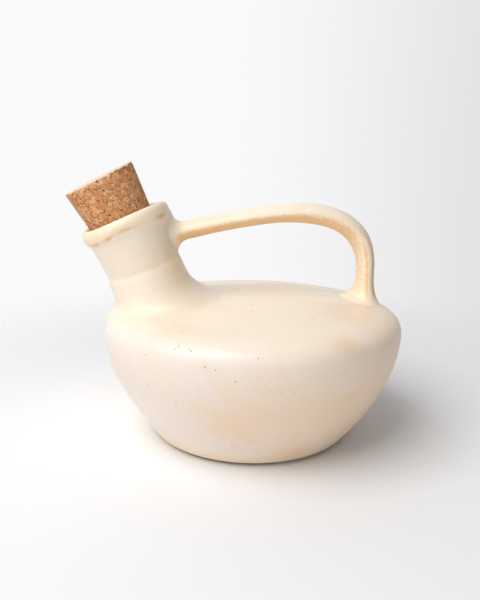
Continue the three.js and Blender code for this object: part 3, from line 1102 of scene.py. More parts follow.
@dataclass
class PotBody:
    """The closed body: a thrown bowl and the shoulder luted on to its rim at the belly line."""

    base_r: float = 56.0
    foot_inset: float = 6.5  # the underside is trimmed off at a slant this far in
    foot_rise: float = 1.25  # and leaves this much space under the edge
    foot_round: float = 2.6
    foot_bulge: Pair = (0.9, 1.2)  # shares of the rise by which its edge bulges out and up
    foot_bare: Span = (2.0, 1.4)  # the glaze was wiped off below
    lean: float = 0.75  # the thrown wall leans a little towards the handle's side
    lean_z: float = 18.0
    lean_width: float = 15.0
    fuller: float = 1.35  # and the belly is a little fuller there
    fuller_low: Span = (8.0, 32.0)
    fuller_high: Span = (84.0, 68.0)
    hand_low: Span = (0.0, 10.0)  # the base itself is even
    belly_r: float = 85.0
    belly_z: float = 62.7
    wall_angle: float = math.radians(53)
    wall_pull: float = 30.4
    belly_pull: float = 21.1
    turn_pull: float = 12.9
    shoulder_inset: float = 25.5
    shoulder_rise: float = 12.6
    shoulder_pull: float = 6.4
    crown_rise: float = 4.7
    crown_end: float = 0.94  # share of the crown's curve before its middle is closed
    wall: float = 5.5
    floor: float = 6.5
    floor_round: float = 1.5
    hub: float = 4.0  # innermost ring of the base and the floor
    warm_least: float = 0.08
    warm_foot: Span = (15.0, 2.0)
    warm_top: Span = (5.0, 12.0)  # above the belly line
    thin_foot: float = 0.45
    thin_low: Span = (3.5, 1.0)
    pooled_foot: float = 1.2
    pooled_low: Span = (12.0, 2.0)
    painted_far_shade: float = 0.9  # painted shade on the far rim of the crown, laid on as pooled glaze
    far_shade_span: Span = (26.0, 40.0)
    far_shade_low: float = 7.0  # above the belly line
    segments: int = 256

    def __post_init__(self) -> None:
        """Works out the outline's curves."""
        self.shoulder_r = self.belly_r - self.shoulder_inset
        self.shoulder_z = self.belly_z + self.shoulder_rise
        self.crown_z = self.shoulder_z + self.crown_rise
        slope = math.atan2(2 * self.crown_rise, self.shoulder_r)
        belly = (self.belly_r, self.belly_z)
        edge = (self.shoulder_r, self.shoulder_z)
        pull = self.shoulder_pull
        foot = np.array([self.base_r, 0.0])
        flare = np.array([math.cos(self.wall_angle), math.sin(self.wall_angle)])
        below_belly = (self.belly_r, self.belly_z - self.belly_pull)
        self.wall_curve = [foot, foot + self.wall_pull * flare, below_belly, belly]
        self.shoulder_curve = [
            belly,
            (self.belly_r, self.belly_z + self.turn_pull),
            (edge[0] + pull * math.cos(slope), edge[1] - pull * math.sin(slope)),
            edge,
        ]
        self.shoulder_line = bezier(self.shoulder_curve, np.linspace(1, 0, FINE)).T
        self.crown_curve = [edge, (self.shoulder_r / 2, self.crown_z), (0.0, self.crown_z)]

    def top_height(self, r: Array) -> Array:
        """Height of the top of the body at distances from its axis."""
        crown = self.crown_z - self.crown_rise * (r / self.shoulder_r) ** 2
        return np.where(r <= self.shoulder_r, crown, np.interp(r, *self.shoulder_line))

    def inside(self, curve: list, t: Array) -> Array:
        """Points of a curve, set in by the wall."""
        way = tangents(curve, t)
        return bezier(curve, t) + np.stack([-way[:, 1], way[:, 0]], -1) * self.wall

    def by_hand(self, points: Array) -> Array:
        """Moves the points of a true round body as the maker's hand left them.

        Args:
            points: places in millimetres.

        Returns:
            The moved places.
        """
        x, _, z = np.moveaxis(points, -1, 0)
        lean = self.lean * hump(z - self.lean_z, self.lean_width) * smooth(z, *self.hand_low)
        fuller = self.fuller * (np.maximum(x, 0) / self.belly_r) ** 2
        fuller *= smooth(z, *self.fuller_low) * smooth(z, *self.fuller_high)
        return points + np.stack([lean + fuller, 0 * x, 0 * x], -1)

    def coat(self, points: Array) -> Array:
        """Warm, thin and pooled shares of the glaze, with painted shade on the crown's far rim in the
        pooled share.

        Args:
            points: places on the outside, in millimetres.

        Returns:
            Three shares for each place.
        """
        _, y, z = points.T
        above = z - self.belly_z
        most = 1 - self.warm_least
        warm = self.warm_least + most * (smooth(z, *self.warm_foot) + smooth(above, *self.warm_top))
        thin = self.thin_foot * smooth(z, *self.thin_low)
        # painted shade: the far rim of the crown is darkened with pooled tint
        far_shade_share = smooth(y, *self.far_shade_span) * smooth(above, self.far_shade_low, self.shoulder_rise)
        pooled = self.pooled_foot * smooth(z, *self.pooled_low) + self.painted_far_shade * far_shade_share
        return np.stack([warm, thin, pooled], -1)

    def bowl(self, shaper: Shaper) -> Object:
        """Makes the bowl, from its flat base to the rim at the belly line.

        Args:
            shaper: what glazed pieces are made with.

        Returns:
            The piece.
        """
        steps = np.linspace(0, 1, FINE)
        leave = float(np.interp(self.foot_round, bezier(self.wall_curve, steps)[:, 1], steps))
        corner = bezier(self.wall_curve, np.array([leave]))[0]
        disc = [(r, 0.0) for r in np.linspace(self.hub, self.base_r - self.foot_inset, 12)]
        slant = np.linspace(disc[-1], (self.base_r - self.foot_rise, self.foot_rise), 6)[1:]
        bulge = self.wall_curve[0] + self.foot_rise * np.array(self.foot_bulge)
        round_edge = bezier([slant[-1], bulge, corner], np.linspace(0, 1, 9))[1:]
        crowded = 1 - (1 - np.linspace(0, 1, 90)) ** 1.4  # towards the rim
        outer = bezier(self.wall_curve, leave + (1 - leave) * crowded)[1:]
        inner = self.inside(self.wall_curve, np.linspace(1, 0, 60))
        inner = inner[inner[:, 1] > self.floor]
        floor = [(r, self.floor) for r in np.linspace(inner[-1, 0] - self.floor_round, self.hub, 14)]
        outside = np.vstack([disc, slant, round_edge, outer])
        outline = np.vstack([outside, inner, floor])
        skin = Skin(self.by_hand(revolve(outline, self.segments)), on_axis(0.0, self.floor))
        ring, points = np.arange(len(outline)), skin.points
        z = points[:, 2]
        out = skin.spread(ring < len(outside))
        bare = np.maximum(skin.spread(ring < len(disc)), smooth(z, *self.foot_bare) * out)
        hand = out * smooth(z, *self.hand_low)
        made = shaper.make("bowl_glazed", skin, self.coat(points), hand, shaper.ivory, bare)
        return settle(made, Body.POT, "bowl")

    def dome(self, shaper: Shaper, neck: "Neck", handle: "Handle") -> Object:
        """Makes the shoulder and crown, with the hole that the neck stands over.

        Args:
            shaper: what glazed pieces are made with.
            neck: the neck over the hole.
            handle: the handle whose foot tints the glaze round it.

        Returns:
            The piece.
        """
        end = self.crown_end
        crowded = np.linspace(0, 1, 70) ** 1.25  # towards the belly line
        outer = np.vstack([
            bezier(self.shoulder_curve, crowded),
            bezier(self.crown_curve, np.linspace(0, end, 42))[1:],
        ])
        inner = np.vstack([
            self.inside(self.crown_curve, np.linspace(end, 0, 24)),
            self.inside(self.shoulder_curve, np.linspace(1, 0, 34))[1:],
        ])
        outline = np.vstack([inner, outer])
        tips = on_axis(inner[0, 1], outer[-1, 1])
        skin = Skin(self.by_hand(revolve(outline, self.segments)), tips)
        points = skin.points
        out = skin.spread(np.arange(len(outline)) >= len(inner))
        coat = self.coat(points) + handle.round_foot(points)
        made = shaper.make("shoulder_glazed", skin, coat, out, shaper.ivory)
        cutter = neck.bore_cutter()
        cut = made.modifiers.new("neck_hole", "BOOLEAN")
        cut.object = cutter
        cut.operation = "DIFFERENCE"
        cut.solver = "EXACT"
        bake(made)
        discard(cutter)
        return settle(made, Body.POT, "shoulder_dome")


@dataclass
class CorkStopper:
    """The tapered cork, which leans a little in the neck."""

    top_r: float = 20.0
    length: float = 38.0
    taper: float = math.radians(5.6)
    showing: float = 23.3
    taller: float = 1.2  # cut this much longer than the plain part
    top_edge: float = 1.2
    top_inset: float = 0.96
    top_fade: Span = (1.0, 0.1)  # below its end the side's colour turns into the cut top's
    bottom_edge: float = 0.8
    tilt: float = math.radians(6.5)
    pit_depth: float = 0.35
    crumb_depth: float = 0.08
    crumb_wide: float = 2.2  # as a share of the size of a crumb in the finish
    crumbs: Span = (0.2, 0.75)
    edge_wear: float = 0.9
    wear_width: float = 1.6
    chip_size: float = 3.2
    chips: Span = (0.42, 0.7)
    hub: float = 0.4  # innermost ring of both ends
    sharp: float = 50.0  # degrees
    segments: int = 300

    def __post_init__(self) -> None:
        """Works out the radii that the neck's bore follows."""
        self.bottom_r = self.top_r - self.length * math.tan(self.taper)
        self.inside_length = self.length - self.showing
        self.lip_r = self.top_r - self.showing * math.tan(self.taper)

    def grain_recipe(self, finish: CorkGrain) -> Recipe:
        """Recipe for a cork's surface: pits, crumbs and worn edges, all inside the plain shape.

        Args:
            finish: the grain, whose pits are where the recipe sinks them.

        Returns:
            The recipe.
        """
        recipe = Recipe("pressed_cork_surface")
        wires = recipe.wires
        depth, crumb, wear = (recipe.add(name) for name in ("Pit_depth", "Crumb_depth", "Edge_wear"))
        place = wires.node("GeometryNodeInputPosition").outputs[0]
        normal = wires.node("GeometryNodeInputNormal").outputs[0]
        pits = wires.times(finish.pits(wires, place), depth)
        crumbs = wires.cells(place, finish.crumb_size * self.crumb_wide).outputs["Distance"]
        grains = wires.times(wires.step(crumbs, *self.crumbs), crumb)
        chips = wires.step(wires.noise(place, self.chip_size, detail=3.0, rough=0.6), *self.chips)
        worn = wires.times(chips, wires.stored(Share.WORN_EDGE), wear)
        sunk = wires.times(wires.plus(pits, grains, worn), -1.0)
        recipe.close_moved(wires.stretched(normal, sunk))
        return recipe

    def make(self, neck: "Neck", finish: CorkGrain) -> Object:
        """Makes the cork in its place in the neck.

        Args:
            neck: the neck that it stands in.
            finish: its grain.

        Returns:
            The piece.
        """
        taper = math.tan(self.taper)
        length, top_r = self.length + self.taller, self.top_r + self.taller * taper
        side_low = (self.bottom_r + self.bottom_edge * taper, self.bottom_edge)
        side_high = (top_r - self.top_edge * taper, length - self.top_edge)
        foot = [(r, 0.0) for r in np.linspace(self.hub, self.bottom_r - self.bottom_edge, 30)]
        low_edge = bezier([foot[-1], (self.bottom_r, 0.0), side_low], np.linspace(0, 1, 7))[1:]
        side = np.linspace(side_low, side_high, 110)[1:]
        top = [(r, length) for r in np.linspace(top_r - self.top_inset, self.hub, 46)]
        high_edge = bezier([side_high, (top_r, length), top[0]], np.linspace(0, 1, 8))[1:-1]
        outline = np.vstack([foot, low_edge, side, high_edge, top])
        skin = Skin(revolve(outline, self.segments), on_axis(0.0, length))
        rim = np.hypot(outline[:, 0] - top_r, outline[:, 1] - length)
        skin.maps[Share.CUT_TOP.value] = skin.spread(smooth(length - outline[:, 1], *self.top_fade))
        skin.maps[Share.WORN_EDGE.value] = skin.spread(hump(rim, self.wear_width))
        skin.rings = neck.cork_place(self, skin.rings)
        skin.ends = tuple(neck.cork_place(self, tip) for tip in skin.ends)
        made = self.grain_recipe(finish).apply(
            skin.mesh_object("cork_grained", self.sharp),
            finish.material(),
            Pit_depth=self.pit_depth * MM,
            Crumb_depth=self.crumb_depth * MM,
            Edge_wear=self.edge_wear * MM,
        )
        return settle(made, Body.CORK, "cork_stopper")


@dataclass
class Neck:
    """The leaning neck: a collar drawn out on the crown, and a flared mouth with a rolled lip."""

    body: PotBody
    cork: CorkStopper
    inset: float = 30.7
    lean: float = math.radians(20.5)
    waist_h: float = 24.0
    lip_h: float = 53.0
    lip_tall: float = 8.4
    lip_wall: float = 4.8
    neck_wall: float = 4.8
    throat_taper: float = math.radians(4)
    mouth_space: float = 0.7
    underlip_wall: float = 4.6
    mouth_flare: float = math.radians(5.5)
    mouth_pull: float = 12.0
    mouth_end: float = 0.84  # share of the mouth's curve before it turns out into the lip
    lip_undercut: float = math.radians(22)
    cove: float = 1.7  # how softly the neck turns out into the lip
    collar_swell: float = 1.5
    root_w: float = 9.0
    root_h: float = 10.8
    root_uphill: float = 3.0
    root_side: float = 4.0
    uphill_w: float = 8.5  # the root is drawn out this much further on its uphill side
    uphill_h: float = 3.5
    root_tint: Span = (8.0, 0.0)  # heights over which its glaze turns into the body's
    lip_rise: float = 2.2  # the rim stands this much higher at its highest place
    lip_ease: float = 1.0  # it starts and ends this far inside the lip
    lip_high: float = math.radians(-62)
    lip_peak: float = 1.5  # the larger, the narrower the high place
    underlip_rise: float = 3.2  # its lower edge climbs on the front too
    underlip_high: float = math.radians(-90)
    underlip_width: float = math.radians(30)
    underlip_reach: float = 8.0
    lip_breaks: tuple[Triple, ...] = (  # degrees round, width, strength
        (-139, 11, 0.46),
        (-115, 7, 0.4),
        (-88, 18, 0.28),
        (-38, 9, 0.5),
        (48, 16, 0.3),
        (112, 9, 0.35),
        (168, 14, 0.3),
    )
    break_least: float = 0.42
    break_up: float = 0.6  # the thin line runs this far above the lip's lower edge
    break_uphill: float = 2.2  # and climbs by this much on the uphill sides
    break_width: float = 1.9
    uphill_sides: Pair = (40.0, 32.0)  # degrees from uphill, width
    # tan glaze beside the handle's root, partly painted shade where the neck lies under the handle
    uphill_tan_and_shade: float = 1.1
    uphill_low: Span = (2.0, 9.0)
    uphill_high: Span = (41.0, 27.0)
    warm: Triple = (0.5, 0.45, 0.3)  # everywhere, more on the lip, more below the waist
    lip_edge: Span = (-0.4, 1.2)
    waist_edge: Span = (2.0, -4.0)
    waist_pool: Triple = (0.25, 1.0, 2.4)  # strength, height above the joint and width
    lip_pool: Pair = (0.55, 0.3)  # all round, and more on the left
    lip_left: Pair = (-150.0, 50.0)  # degrees, width
    cork_gap: float = 0.3
    bore_play: float = 0.2  # the hole in the crown is this much wider than the throat
    bead: float = 1.2  # the collar stands proud of the mouth below the joint at the waist
    bead_width: float = 2.6
    sink: float = 0.03  # drawn-out clay ends this far under its neighbour's skin
    tuck: float = 1.0  # and its hidden edge lies this far under it
    seam_fade: Span = (1.4, 0.02)
    segments: int = 192

    def __post_init__(self) -> None:
        """Works out the bore round the cork, and the neck's own frame."""
        cork = self.cork
        self.lip_low = self.lip_h - self.lip_tall
        self.seat_h = self.lip_h - cork.inside_length * math.cos(cork.tilt)
        self.seat_r = cork.bottom_r + self.cork_gap
        lean_in = cork.inside_length * math.sin(cork.tilt)
        self.mouth_r = cork.lip_r + lean_in + self.cork_gap + self.mouth_space
        self.seat_drop = cork.bottom_r * math.sin(cork.tilt) + self.cork_gap
        drop = self.seat_h - self.seat_drop - self.waist_h
        self.throat_r = self.seat_r - drop * math.tan(self.throat_taper)
        self.waist_r = self.throat_r + self.neck_wall
        self.root_r = self.waist_r + self.collar_swell
        self.lip_middle = (self.mouth_r + self.lip_wall / 2, self.lip_h - self.lip_tall / 2)
        under = (self.mouth_r - self.seat_r) * self.lip_tall / cork.inside_length
        underlip_r = self.mouth_r - under + self.underlip_wall
        waist = np.array([self.waist_r, self.waist_h])
        flare = np.array([math.sin(self.mouth_flare), math.cos(self.mouth_flare)])
        self.mouth_curve = [waist, waist + self.mouth_pull * flare, (underlip_r, self.lip_low)]
        axis_r = self.body.belly_r - self.inset
        self.base = np.array([-axis_r, 0.0, float(self.body.top_height(axis_r))])
        self.axes = self.leaning_axes(self.lean)
        outline, _ = self.mouth_outline()
        wall = self.collar_wall(np.zeros((1, 1)), 24)[:0:-1, 0]
        below = np.stack([np.hypot(wall[:, 0], wall[:, 1]), wall[:, 2]], -1)
        self.outside = np.vstack([below, outline[: int(outline[:, 1].argmax()) + 1]])

    @staticmethod
    def leaning_axes(lean: float) -> Array:
        """Rows of a frame that leans towards -X: uphill, across and along the axis."""
        c, s = math.cos(lean), math.sin(lean)
        return np.array([[c, 0.0, s], [0.0, 1.0, 0.0], [-s, 0.0, c]])

    def place(self, points: Array) -> Array:
        """Points of the neck's frame in the pot's frame."""
        return points @ self.axes + self.base

    def local(self, points: Array) -> Array:
        """Points of the pot's frame in the neck's frame."""
        return (points - self.base) @ self.axes.T

    def cork_place(self, cork: CorkStopper, points: Array) -> Array:
        """Points of the cork's frame in the pot's frame."""
        seat = self.base + self.seat_h * self.axes[2]
        return points @ self.leaning_axes(self.lean + cork.tilt) + seat

    def mouth_radius(self, h: Array) -> Array:
        """Outer radius at heights on the neck's uphill side, lip and all."""
        return np.interp(h, np.maximum.accumulate(self.outside[:, 1]), self.outside[:, 0])

    def coat(self, local: Array) -> Array:
        """Warm, thin and pooled shares of the glaze, with painted shade under the handle in the pooled
        share.

        Args:
            local: places in the neck's frame.

        Returns:
            Three shares for each place.
        """
        x, y, h = local.T
        angle = np.degrees(np.arctan2(y, x))
        over_lip, over_waist = h - self.lip_low, h - self.waist_h
        lip = smooth(over_lip, *self.lip_edge)
        middle, width = self.uphill_sides
        uphill = hump(np.abs(angle) - middle, width)
        breaks = self.break_least + sum(s * hump(angle_from(a, angle), w) for a, w, s in self.lip_breaks)
        thin = breaks * hump(over_lip - self.break_up - self.break_uphill * uphill, self.break_width)
        least, on_lip, below_waist = self.warm
        warm = least + on_lip * lip + below_waist * smooth(over_waist, *self.waist_edge)
        strength, up, width = self.waist_pool
        pooled = strength * hump(over_waist - up, width)
        left, width = self.lip_left
        pooled += (self.lip_pool[0] + self.lip_pool[1] * hump(angle - left, width)) * lip
        # tan glaze beside the handle's root, partly painted shade under the handle
        pooled += self.uphill_tan_and_shade * uphill * smooth(h, *self.uphill_low) * smooth(h, *self.uphill_high)
        return np.stack([warm, thin, pooled], -1)

    def crown_meets(self, angle: Array, r: Array) -> Array:
        """Heights at which lines beside the neck's axis leave the top of the body.

        Args:
            angle: their angles round the neck.
            r: their distances from the axis.

        Returns:
            The heights in the neck's frame.
        """

        def above(h: Array) -> Array:
            """How far heights on the lines are above the body."""
            p = self.place(polar(r, angle, h))
            return p[..., 2] - self.body.top_height(np.hypot(p[..., 0], p[..., 1]))

        reach = np.full(np.broadcast(angle, r).shape, self.body.belly_z)
        return root_of(above, -reach, reach)

    def bore_cutter(self) -> Object:
        """Makes a plug a little wider than the throat, to open the crown under the neck.

        Returns:
            The plug.
        """
        reach, wide = 4 * self.body.wall, self.throat_r + self.bore_play
        rings = revolve(np.array([(wide, -reach), (wide, reach)]), self.segments)
        tips = tuple(self.place(tip) for tip in on_axis(-reach, reach))
        return Skin(self.place(rings), tips).mesh_object("bore_cutter", sharp=30.0)

    def root_size(self, angle: Array) -> tuple[Array, Array]:
        """How large the root is.

        Args:
            angle: angles round the neck.

        Returns:
            Its width and its height at each.
        """
        more = self.root_uphill * np.cos(angle) + self.root_side * np.sin(angle) ** 2
        uphill = np.maximum(np.cos(angle), 0) ** 2
        return self.root_w + more + self.uphill_w * uphill, self.root_h + more + self.uphill_h * uphill

    def collar_wall(self, angle: Array, count: int) -> Array:
        """Rings of the collar's wall, from the waist down to where its root starts.

        Args:
            angle: a row of angles round the neck.
            count: how many rings.

        Returns:
            Places in the neck's frame.
        """
        t = np.linspace(0, 1, count)[:, None] ** 1.3  # crowded at the waist
        low = self.crown_meets(angle, np.full_like(angle, self.root_r)) + self.root_size(angle)[1]
        h = self.waist_h + (low - self.waist_h) * t
        down = (self.waist_h - h) / self.bead_width
        r = self.waist_r + self.collar_swell * t**2 + self.bead * (1 - hump(down, 1.0)) * (1 - t)
        return polar(r, angle, h)

    def collar(self, shaper: Shaper, dome: Object) -> Object:
        """Makes the collar, from the joint at the waist to its root drawn out on the crown.

        Args:
            shaper: what glazed pieces are made with.
            dome: the piece that the root lies on.

        Returns:
            The piece.
        """
        angle = turn(self.segments)[None, :]
        wide, tall = self.root_size(angle)
        wall = self.collar_wall(angle, 36)
        above = wall[..., 2] - wall[-1, :, 2] + tall

        bow = np.sin(np.linspace(0, math.pi / 2, 44))[1:, None] * (math.pi / 2)
        r = self.root_r + wide * (1 - np.cos(bow))
        lift = tall * (1 - np.sin(bow)) - self.sink
        root = polar(r, angle, self.crown_meets(angle, r) + lift)

        inward = np.linspace(0, 1, 8)[:, None]
        r = self.throat_r + (self.root_r + wide - self.throat_r) * (1 - inward)
        under = polar(r, angle, self.crown_meets(angle, r) - self.tuck)
        rise = np.linspace(0, 1, 12)[1:, None]
        bore = polar(self.throat_r, angle, under[-1, :, 2] + (self.waist_h - under[-1, :, 2]) * rise)

        rings = np.concatenate([wall, root, under, bore])[::-1]
        skin = Skin(self.place(rings))
        hidden = len(under) + len(bore)
        seam = np.zeros(rings.shape[:2])
        seam[hidden: hidden + len(root)] = smooth(lift, *self.seam_fade)[::-1]
        skin.maps[Share.SEAM.value] = skin.spread(seam)
        stands = np.ones(rings.shape[:2])
        stands[hidden:] = np.concatenate([above, lift])[::-1]
        body_share = skin.spread(smooth(stands, *self.root_tint))[:, None]
        coat = self.coat(rings.reshape(-1, 3)) * (1 - body_share)
        coat += self.body.coat(skin.points) * body_share
        hand = skin.spread(np.arange(len(rings)) >= hidden)
        made = shaper.make("neck_collar_glazed", skin, coat, hand, shaper.cream)
        shaper.join_seam(made, dome, Share.SEAM)
        return settle(made, Body.POT, "neck_collar")

    def mouth_outline(self) -> tuple[Array, Array]:
        """Outline of the mouth, and which of its points lie in the bore.

        Returns:
            Rows of radius and height, from the waist over the lip and down the bore, and 1 in the bore.
        """
        middle_r, middle_h = self.lip_middle
        rise = bezier(self.mouth_curve, np.linspace(0, self.mouth_end, 48) ** 1.1)
        roll = np.linspace(-self.lip_undercut, math.pi, 64)
        over = np.stack([
            middle_r + self.lip_wall / 2 * np.cos(roll),
            middle_h + self.lip_tall / 2 * np.sin(roll),
        ], -1)
        turning = [
            rise[-1],
            rise[-1] + unit(rise[-1] - rise[-2]) * self.cove,
            over[0] - unit(over[1] - over[0]) * self.cove,
            over[0],
        ]
        nook = bezier(turning, np.linspace(0, 1, 16))[1:-1]
        seat = np.linspace((self.mouth_r, middle_h), (self.seat_r, self.seat_h - self.seat_drop), 24)[1:]
        throat = np.linspace(seat[-1], (self.throat_r, self.waist_h), 18)[1:]
        outline = np.vstack([rise, nook, over, seat, throat])
        inside = np.zeros(len(outline))
        inside[-len(seat) - len(throat):] = 1.0
        return outline, inside

    def mouth(self, shaper: Shaper) -> Object:
        """Makes the flared mouth with its rolled lip and the bore that the cork sits in.

        Args:
            shaper: what glazed pieces are made with.

        Returns:
            The piece.
        """
        outline, inside = self.mouth_outline()
        rings = revolve(outline, self.segments)
        coat = self.coat(rings.reshape(-1, 3))
        angle = turn(self.segments)
        high = self.lip_rise * np.clip(np.cos(angle - self.lip_high), 0, 1) ** self.lip_peak
        beside = angle_from(self.underlip_high, angle, 2 * math.pi)
        climbs = self.underlip_rise * hump(beside, self.underlip_width)
        outer = (1 - inside)[:, None]
        under = smooth(outline[:, 1], self.lip_low - self.underlip_reach, self.lip_low)[:, None] * outer
        lip = smooth(outline[:, 1], self.lip_low + self.lip_ease, self.lip_h - self.lip_ease)[:, None]
        rings[..., 2] += climbs * under + (high - climbs * outer) * lip
        skin = Skin(self.place(rings))
        made = shaper.make("neck_mouth_glazed", skin, coat, skin.spread(1 - inside), shaper.cream)
        return settle(made, Body.POT, "neck_mouth")


@dataclass
class Handle:
    """The pulled strap, with both roots drawn out on what they join."""

    body: PotBody
    neck: Neck
    thick: float = 10.7
    width: float = 15.0
    oval: float = 1.75
    under_lip: float = -0.73
    climb: float = math.radians(12.4)
    start_pull: float = 20.5
    crest_z: float = 127.55
    crest_pull: float = 17.3
    leg_inset: float = 17.07
    bend_x: float = 42.9
    bend_z: float = 33.7
    bend_pull_x: float = 26.1
    bend_pull_z: float = 23.1
    root: float = 5.0
    neck_root: float = 8.0
    neck_spread: Triple = (1.3, 1.15, 0.7)  # shares of it up, down and sideways
    neck_tint: float = 0.7  # share of the root over which its glaze turns into the neck's
    foot_root: float = 15.0
    foot_spread: Triple = (0.32, 0.95, 0.7)  # outward, inward and sideways
    foot_tint: float = 0.5
    foot_halo: Pair = (10.0, 6.0)  # distance from the leg's middle line, width
    halo: Triple = (0.0, 0.3, 0.22)  # what it adds to the warm, thin and pooled shares
    halo_rise: float = 5.0  # it ends this far below the shoulder's edge
    nook_fill: float = 1.0  # it fills the nook under the lip by this much
    nook_width: float = 3.0
    run_thin: float = 0.035  # the strap is pulled thinner on its run
    bend_thick: float = 0.16  # and left thicker at its bend
    run_from: Span = (0.0, 0.12)  # shares of the way from neck to foot
    bend_from: Span = (0.3, 0.5)
    leg_from: Span = (0.72, 0.9)
    bend_along: Span = (0.4, 0.58)  # and for the tints
    leg_along: Span = (0.62, 0.76)
    outer_shade_along: Span = (0.42, 0.85)
    warm: float = 0.95
    thin_edge: Triple = (-0.1, -0.05, 0.32)  # on the run, more at the bend, more on the leg
    thin_most: Triple = (0.95, -0.2, -0.25)
    thin_ramp: Span = (-0.5, 0.6)  # about the edge, across the strap
    stripe: Triple = (0.05, 0.0, 0.55)
    stripe_width: Triple = (0.14, 0.0, 0.06)
    pale_line: Triple = (0.2, -0.06, 0.08)  # beside the stripe: strength, place and width
    # painted shade: orange on the outer side of the bend and leg, which is turned from the light
    back: float = 0.9
    outer_shade_ramp: Span = (-0.12, -0.42)
    outer_shade_ease: float = 0.25
    outer_shade_edge: Span = (-0.55, -0.9)
    pooled: Pair = (0.2, 0.7)  # everywhere, and more below
    pooled_ramp: Span = (-0.4, 0.3)
    sink: float = 0.03
    tuck: float = 1.0
    seam_fade: Span = (1.2, 0.02)
    segments: int = 96

    def __post_init__(self) -> None:
        """Works out where the strap starts and lands."""
        neck = self.neck
        self.leg_x = self.body.belly_r - self.leg_inset
        neck_h = neck.lip_low - self.under_lip - self.root - self.thick / 2
        self.start_way = np.array([math.cos(self.climb), 0.0, math.sin(self.climb)])
        self.neck_point = neck.place(np.array([float(neck.mouth_radius(neck_h)), 0.0, neck_h]))
        self.foot_point = np.array([self.leg_x, 0.0, float(self.body.top_height(self.leg_x))])

    def section(self) -> Array:
        """Offsets of the strap's skin from its middle line.

        Returns:
            Rows of two: across the strap in its plane, and along Y.
        """
        angle = turn(self.segments)
        round_way = np.stack([np.cos(angle), np.sin(angle)], -1)
        halves = np.array([self.thick, self.width]) / 2
        return halves * np.sign(round_way) * np.abs(round_way) ** (2 / self.oval)

    @staticmethod
    def beside(middle: Array, way: Array, offsets: Array) -> Array:
        """Points beside the middle line, given the way that it runs there."""
        across = np.array([-way[2], 0.0, way[0]])
        return middle + offsets[:, :1] * across + offsets[:, 1:] * np.array([0.0, 1.0, 0.0])

    def coat(self, below: Array, along: Array) -> Array:
        """Warm, thin and pooled shares of the strap's glaze, with painted shade on the leg's outer side in
        the thin share.

        Args:
            below: 1 on the strap's lower side, -1 on its upper side.
            along: 0 at the neck, 1 at the foot.

        Returns:
            Three shares for each place.
        """
        bend, leg = smooth(along, *self.bend_along), smooth(along, *self.leg_along)
        tints = np.array([self.thin_edge, self.thin_most, self.stripe, self.stripe_width])
        edge, most, stripe, width = tints @ np.stack([np.ones(len(along)), bend, leg])
        over = below - edge
        # painted shade on the outer side of the bend and leg, laid on as thin glaze
        painted_flank_shade = smooth(below, *self.outer_shade_ramp) * (1 - self.outer_shade_ease * smooth(below, *self.outer_shade_edge))
        line, line_place, line_width = self.pale_line
        thin = most * smooth(over, *self.thin_ramp) + stripe * hump(over, width)
        thin += self.back * smooth(along, *self.outer_shade_along) * painted_flank_shade
        thin -= line * leg * hump(below - line_place, line_width)
        least, more = self.pooled
        pooled = least + more * smooth(over, *self.pooled_ramp)
        return np.stack([np.full(len(below), self.warm), thin, pooled], -1)

    def round_foot(self, points: Array) -> Array:
        """What the foot adds to the warm, thin and pooled shares of the glaze round it.

        Args:
            points: places in millimetres.

        Returns:
            Three shares for each place.
        """
        x, y, z = points.T
        reach, width = self.foot_halo
        near = hump(np.maximum(np.hypot(x - self.leg_x, y) - reach, 0), width)
        near = near * smooth(z, self.body.belly_z, self.body.shoulder_z - self.halo_rise)
        return near[:, None] * np.array(self.halo)

    def back_to_neck(self, points: Array, fill: float = 0.0) -> Array:
        """Points moved along the strap's first stretch on to the neck.

        Args:
            points: places beside the strap's middle line.
            fill: how much of the nook under the lip is filled.

        Returns:
            The moved places.
        """

        def outside(reach: Array) -> Array:
            """How far outside the neck the points are.

            Args:
                reach: how far each is moved.

            Returns:
                The distances.
            """
            x, y, h = self.neck.local(points + reach[:, None] * self.start_way).T
            filled = fill * self.nook_fill * hump(h - self.neck.lip_low, self.nook_width)
            return np.hypot(x, y) - self.neck.mouth_radius(h) - filled

        low = np.full(len(points), -self.neck.lip_middle[0])
        return points + root_of(outside, low, low + 3 * self.bend_x)[:, None] * self.start_way

    def down_to_shoulder(self, points: Array) -> Array:
        """Points moved down on to the shoulder.

        Args:
            points: places beside the strap's middle line.

        Returns:
            The moved places.
        """
        x, y = points[:, 0], points[:, 1]
        plain = np.column_stack([x, y, self.body.top_height(np.hypot(x, y))])
        moved = self.body.by_hand(plain)[:, 0] - x
        return np.column_stack([x, y, self.body.top_height(np.hypot(x - moved, y))])

    def root_rings(
        self,
        middle: Array,
        way: Array,
        seat: Callable[[Array, float], Array],
        away: Array,
        lift: float,
        spread: Triple,
    ) -> tuple[Array, Array]:
        """Rings of one root, from its hidden seat out to the plain strap.

        Args:
            middle: where the middle line meets its neighbour.
            way: the way that the strap runs there.
            seat: moves points on to the neighbour, whose nooks it fills by a share.
            away: the way out of the neighbour.
            lift: how far out the root reaches along the strap.
            spread: shares of that by which it spreads up, down and sideways.

        Returns:
            The rings, and how far each stands off the neighbour.
        """
        offsets = self.section()
        length = np.linalg.norm(offsets, axis=1)[:, None]
        upward = offsets[:, :1] / length
        up, low, aside = spread
        reach = aside + (np.where(upward > 0, up, low) - aside) * upward**2

        def ring(share: float, grow: float, off: float, fill: float) -> Array:
            """One ring: its share of the section, how far it spreads and stands off, and its fill."""
            grown = offsets * (share * length + grow * reach) / length
            return seat(self.beside(middle, way, grown), fill) + off * away

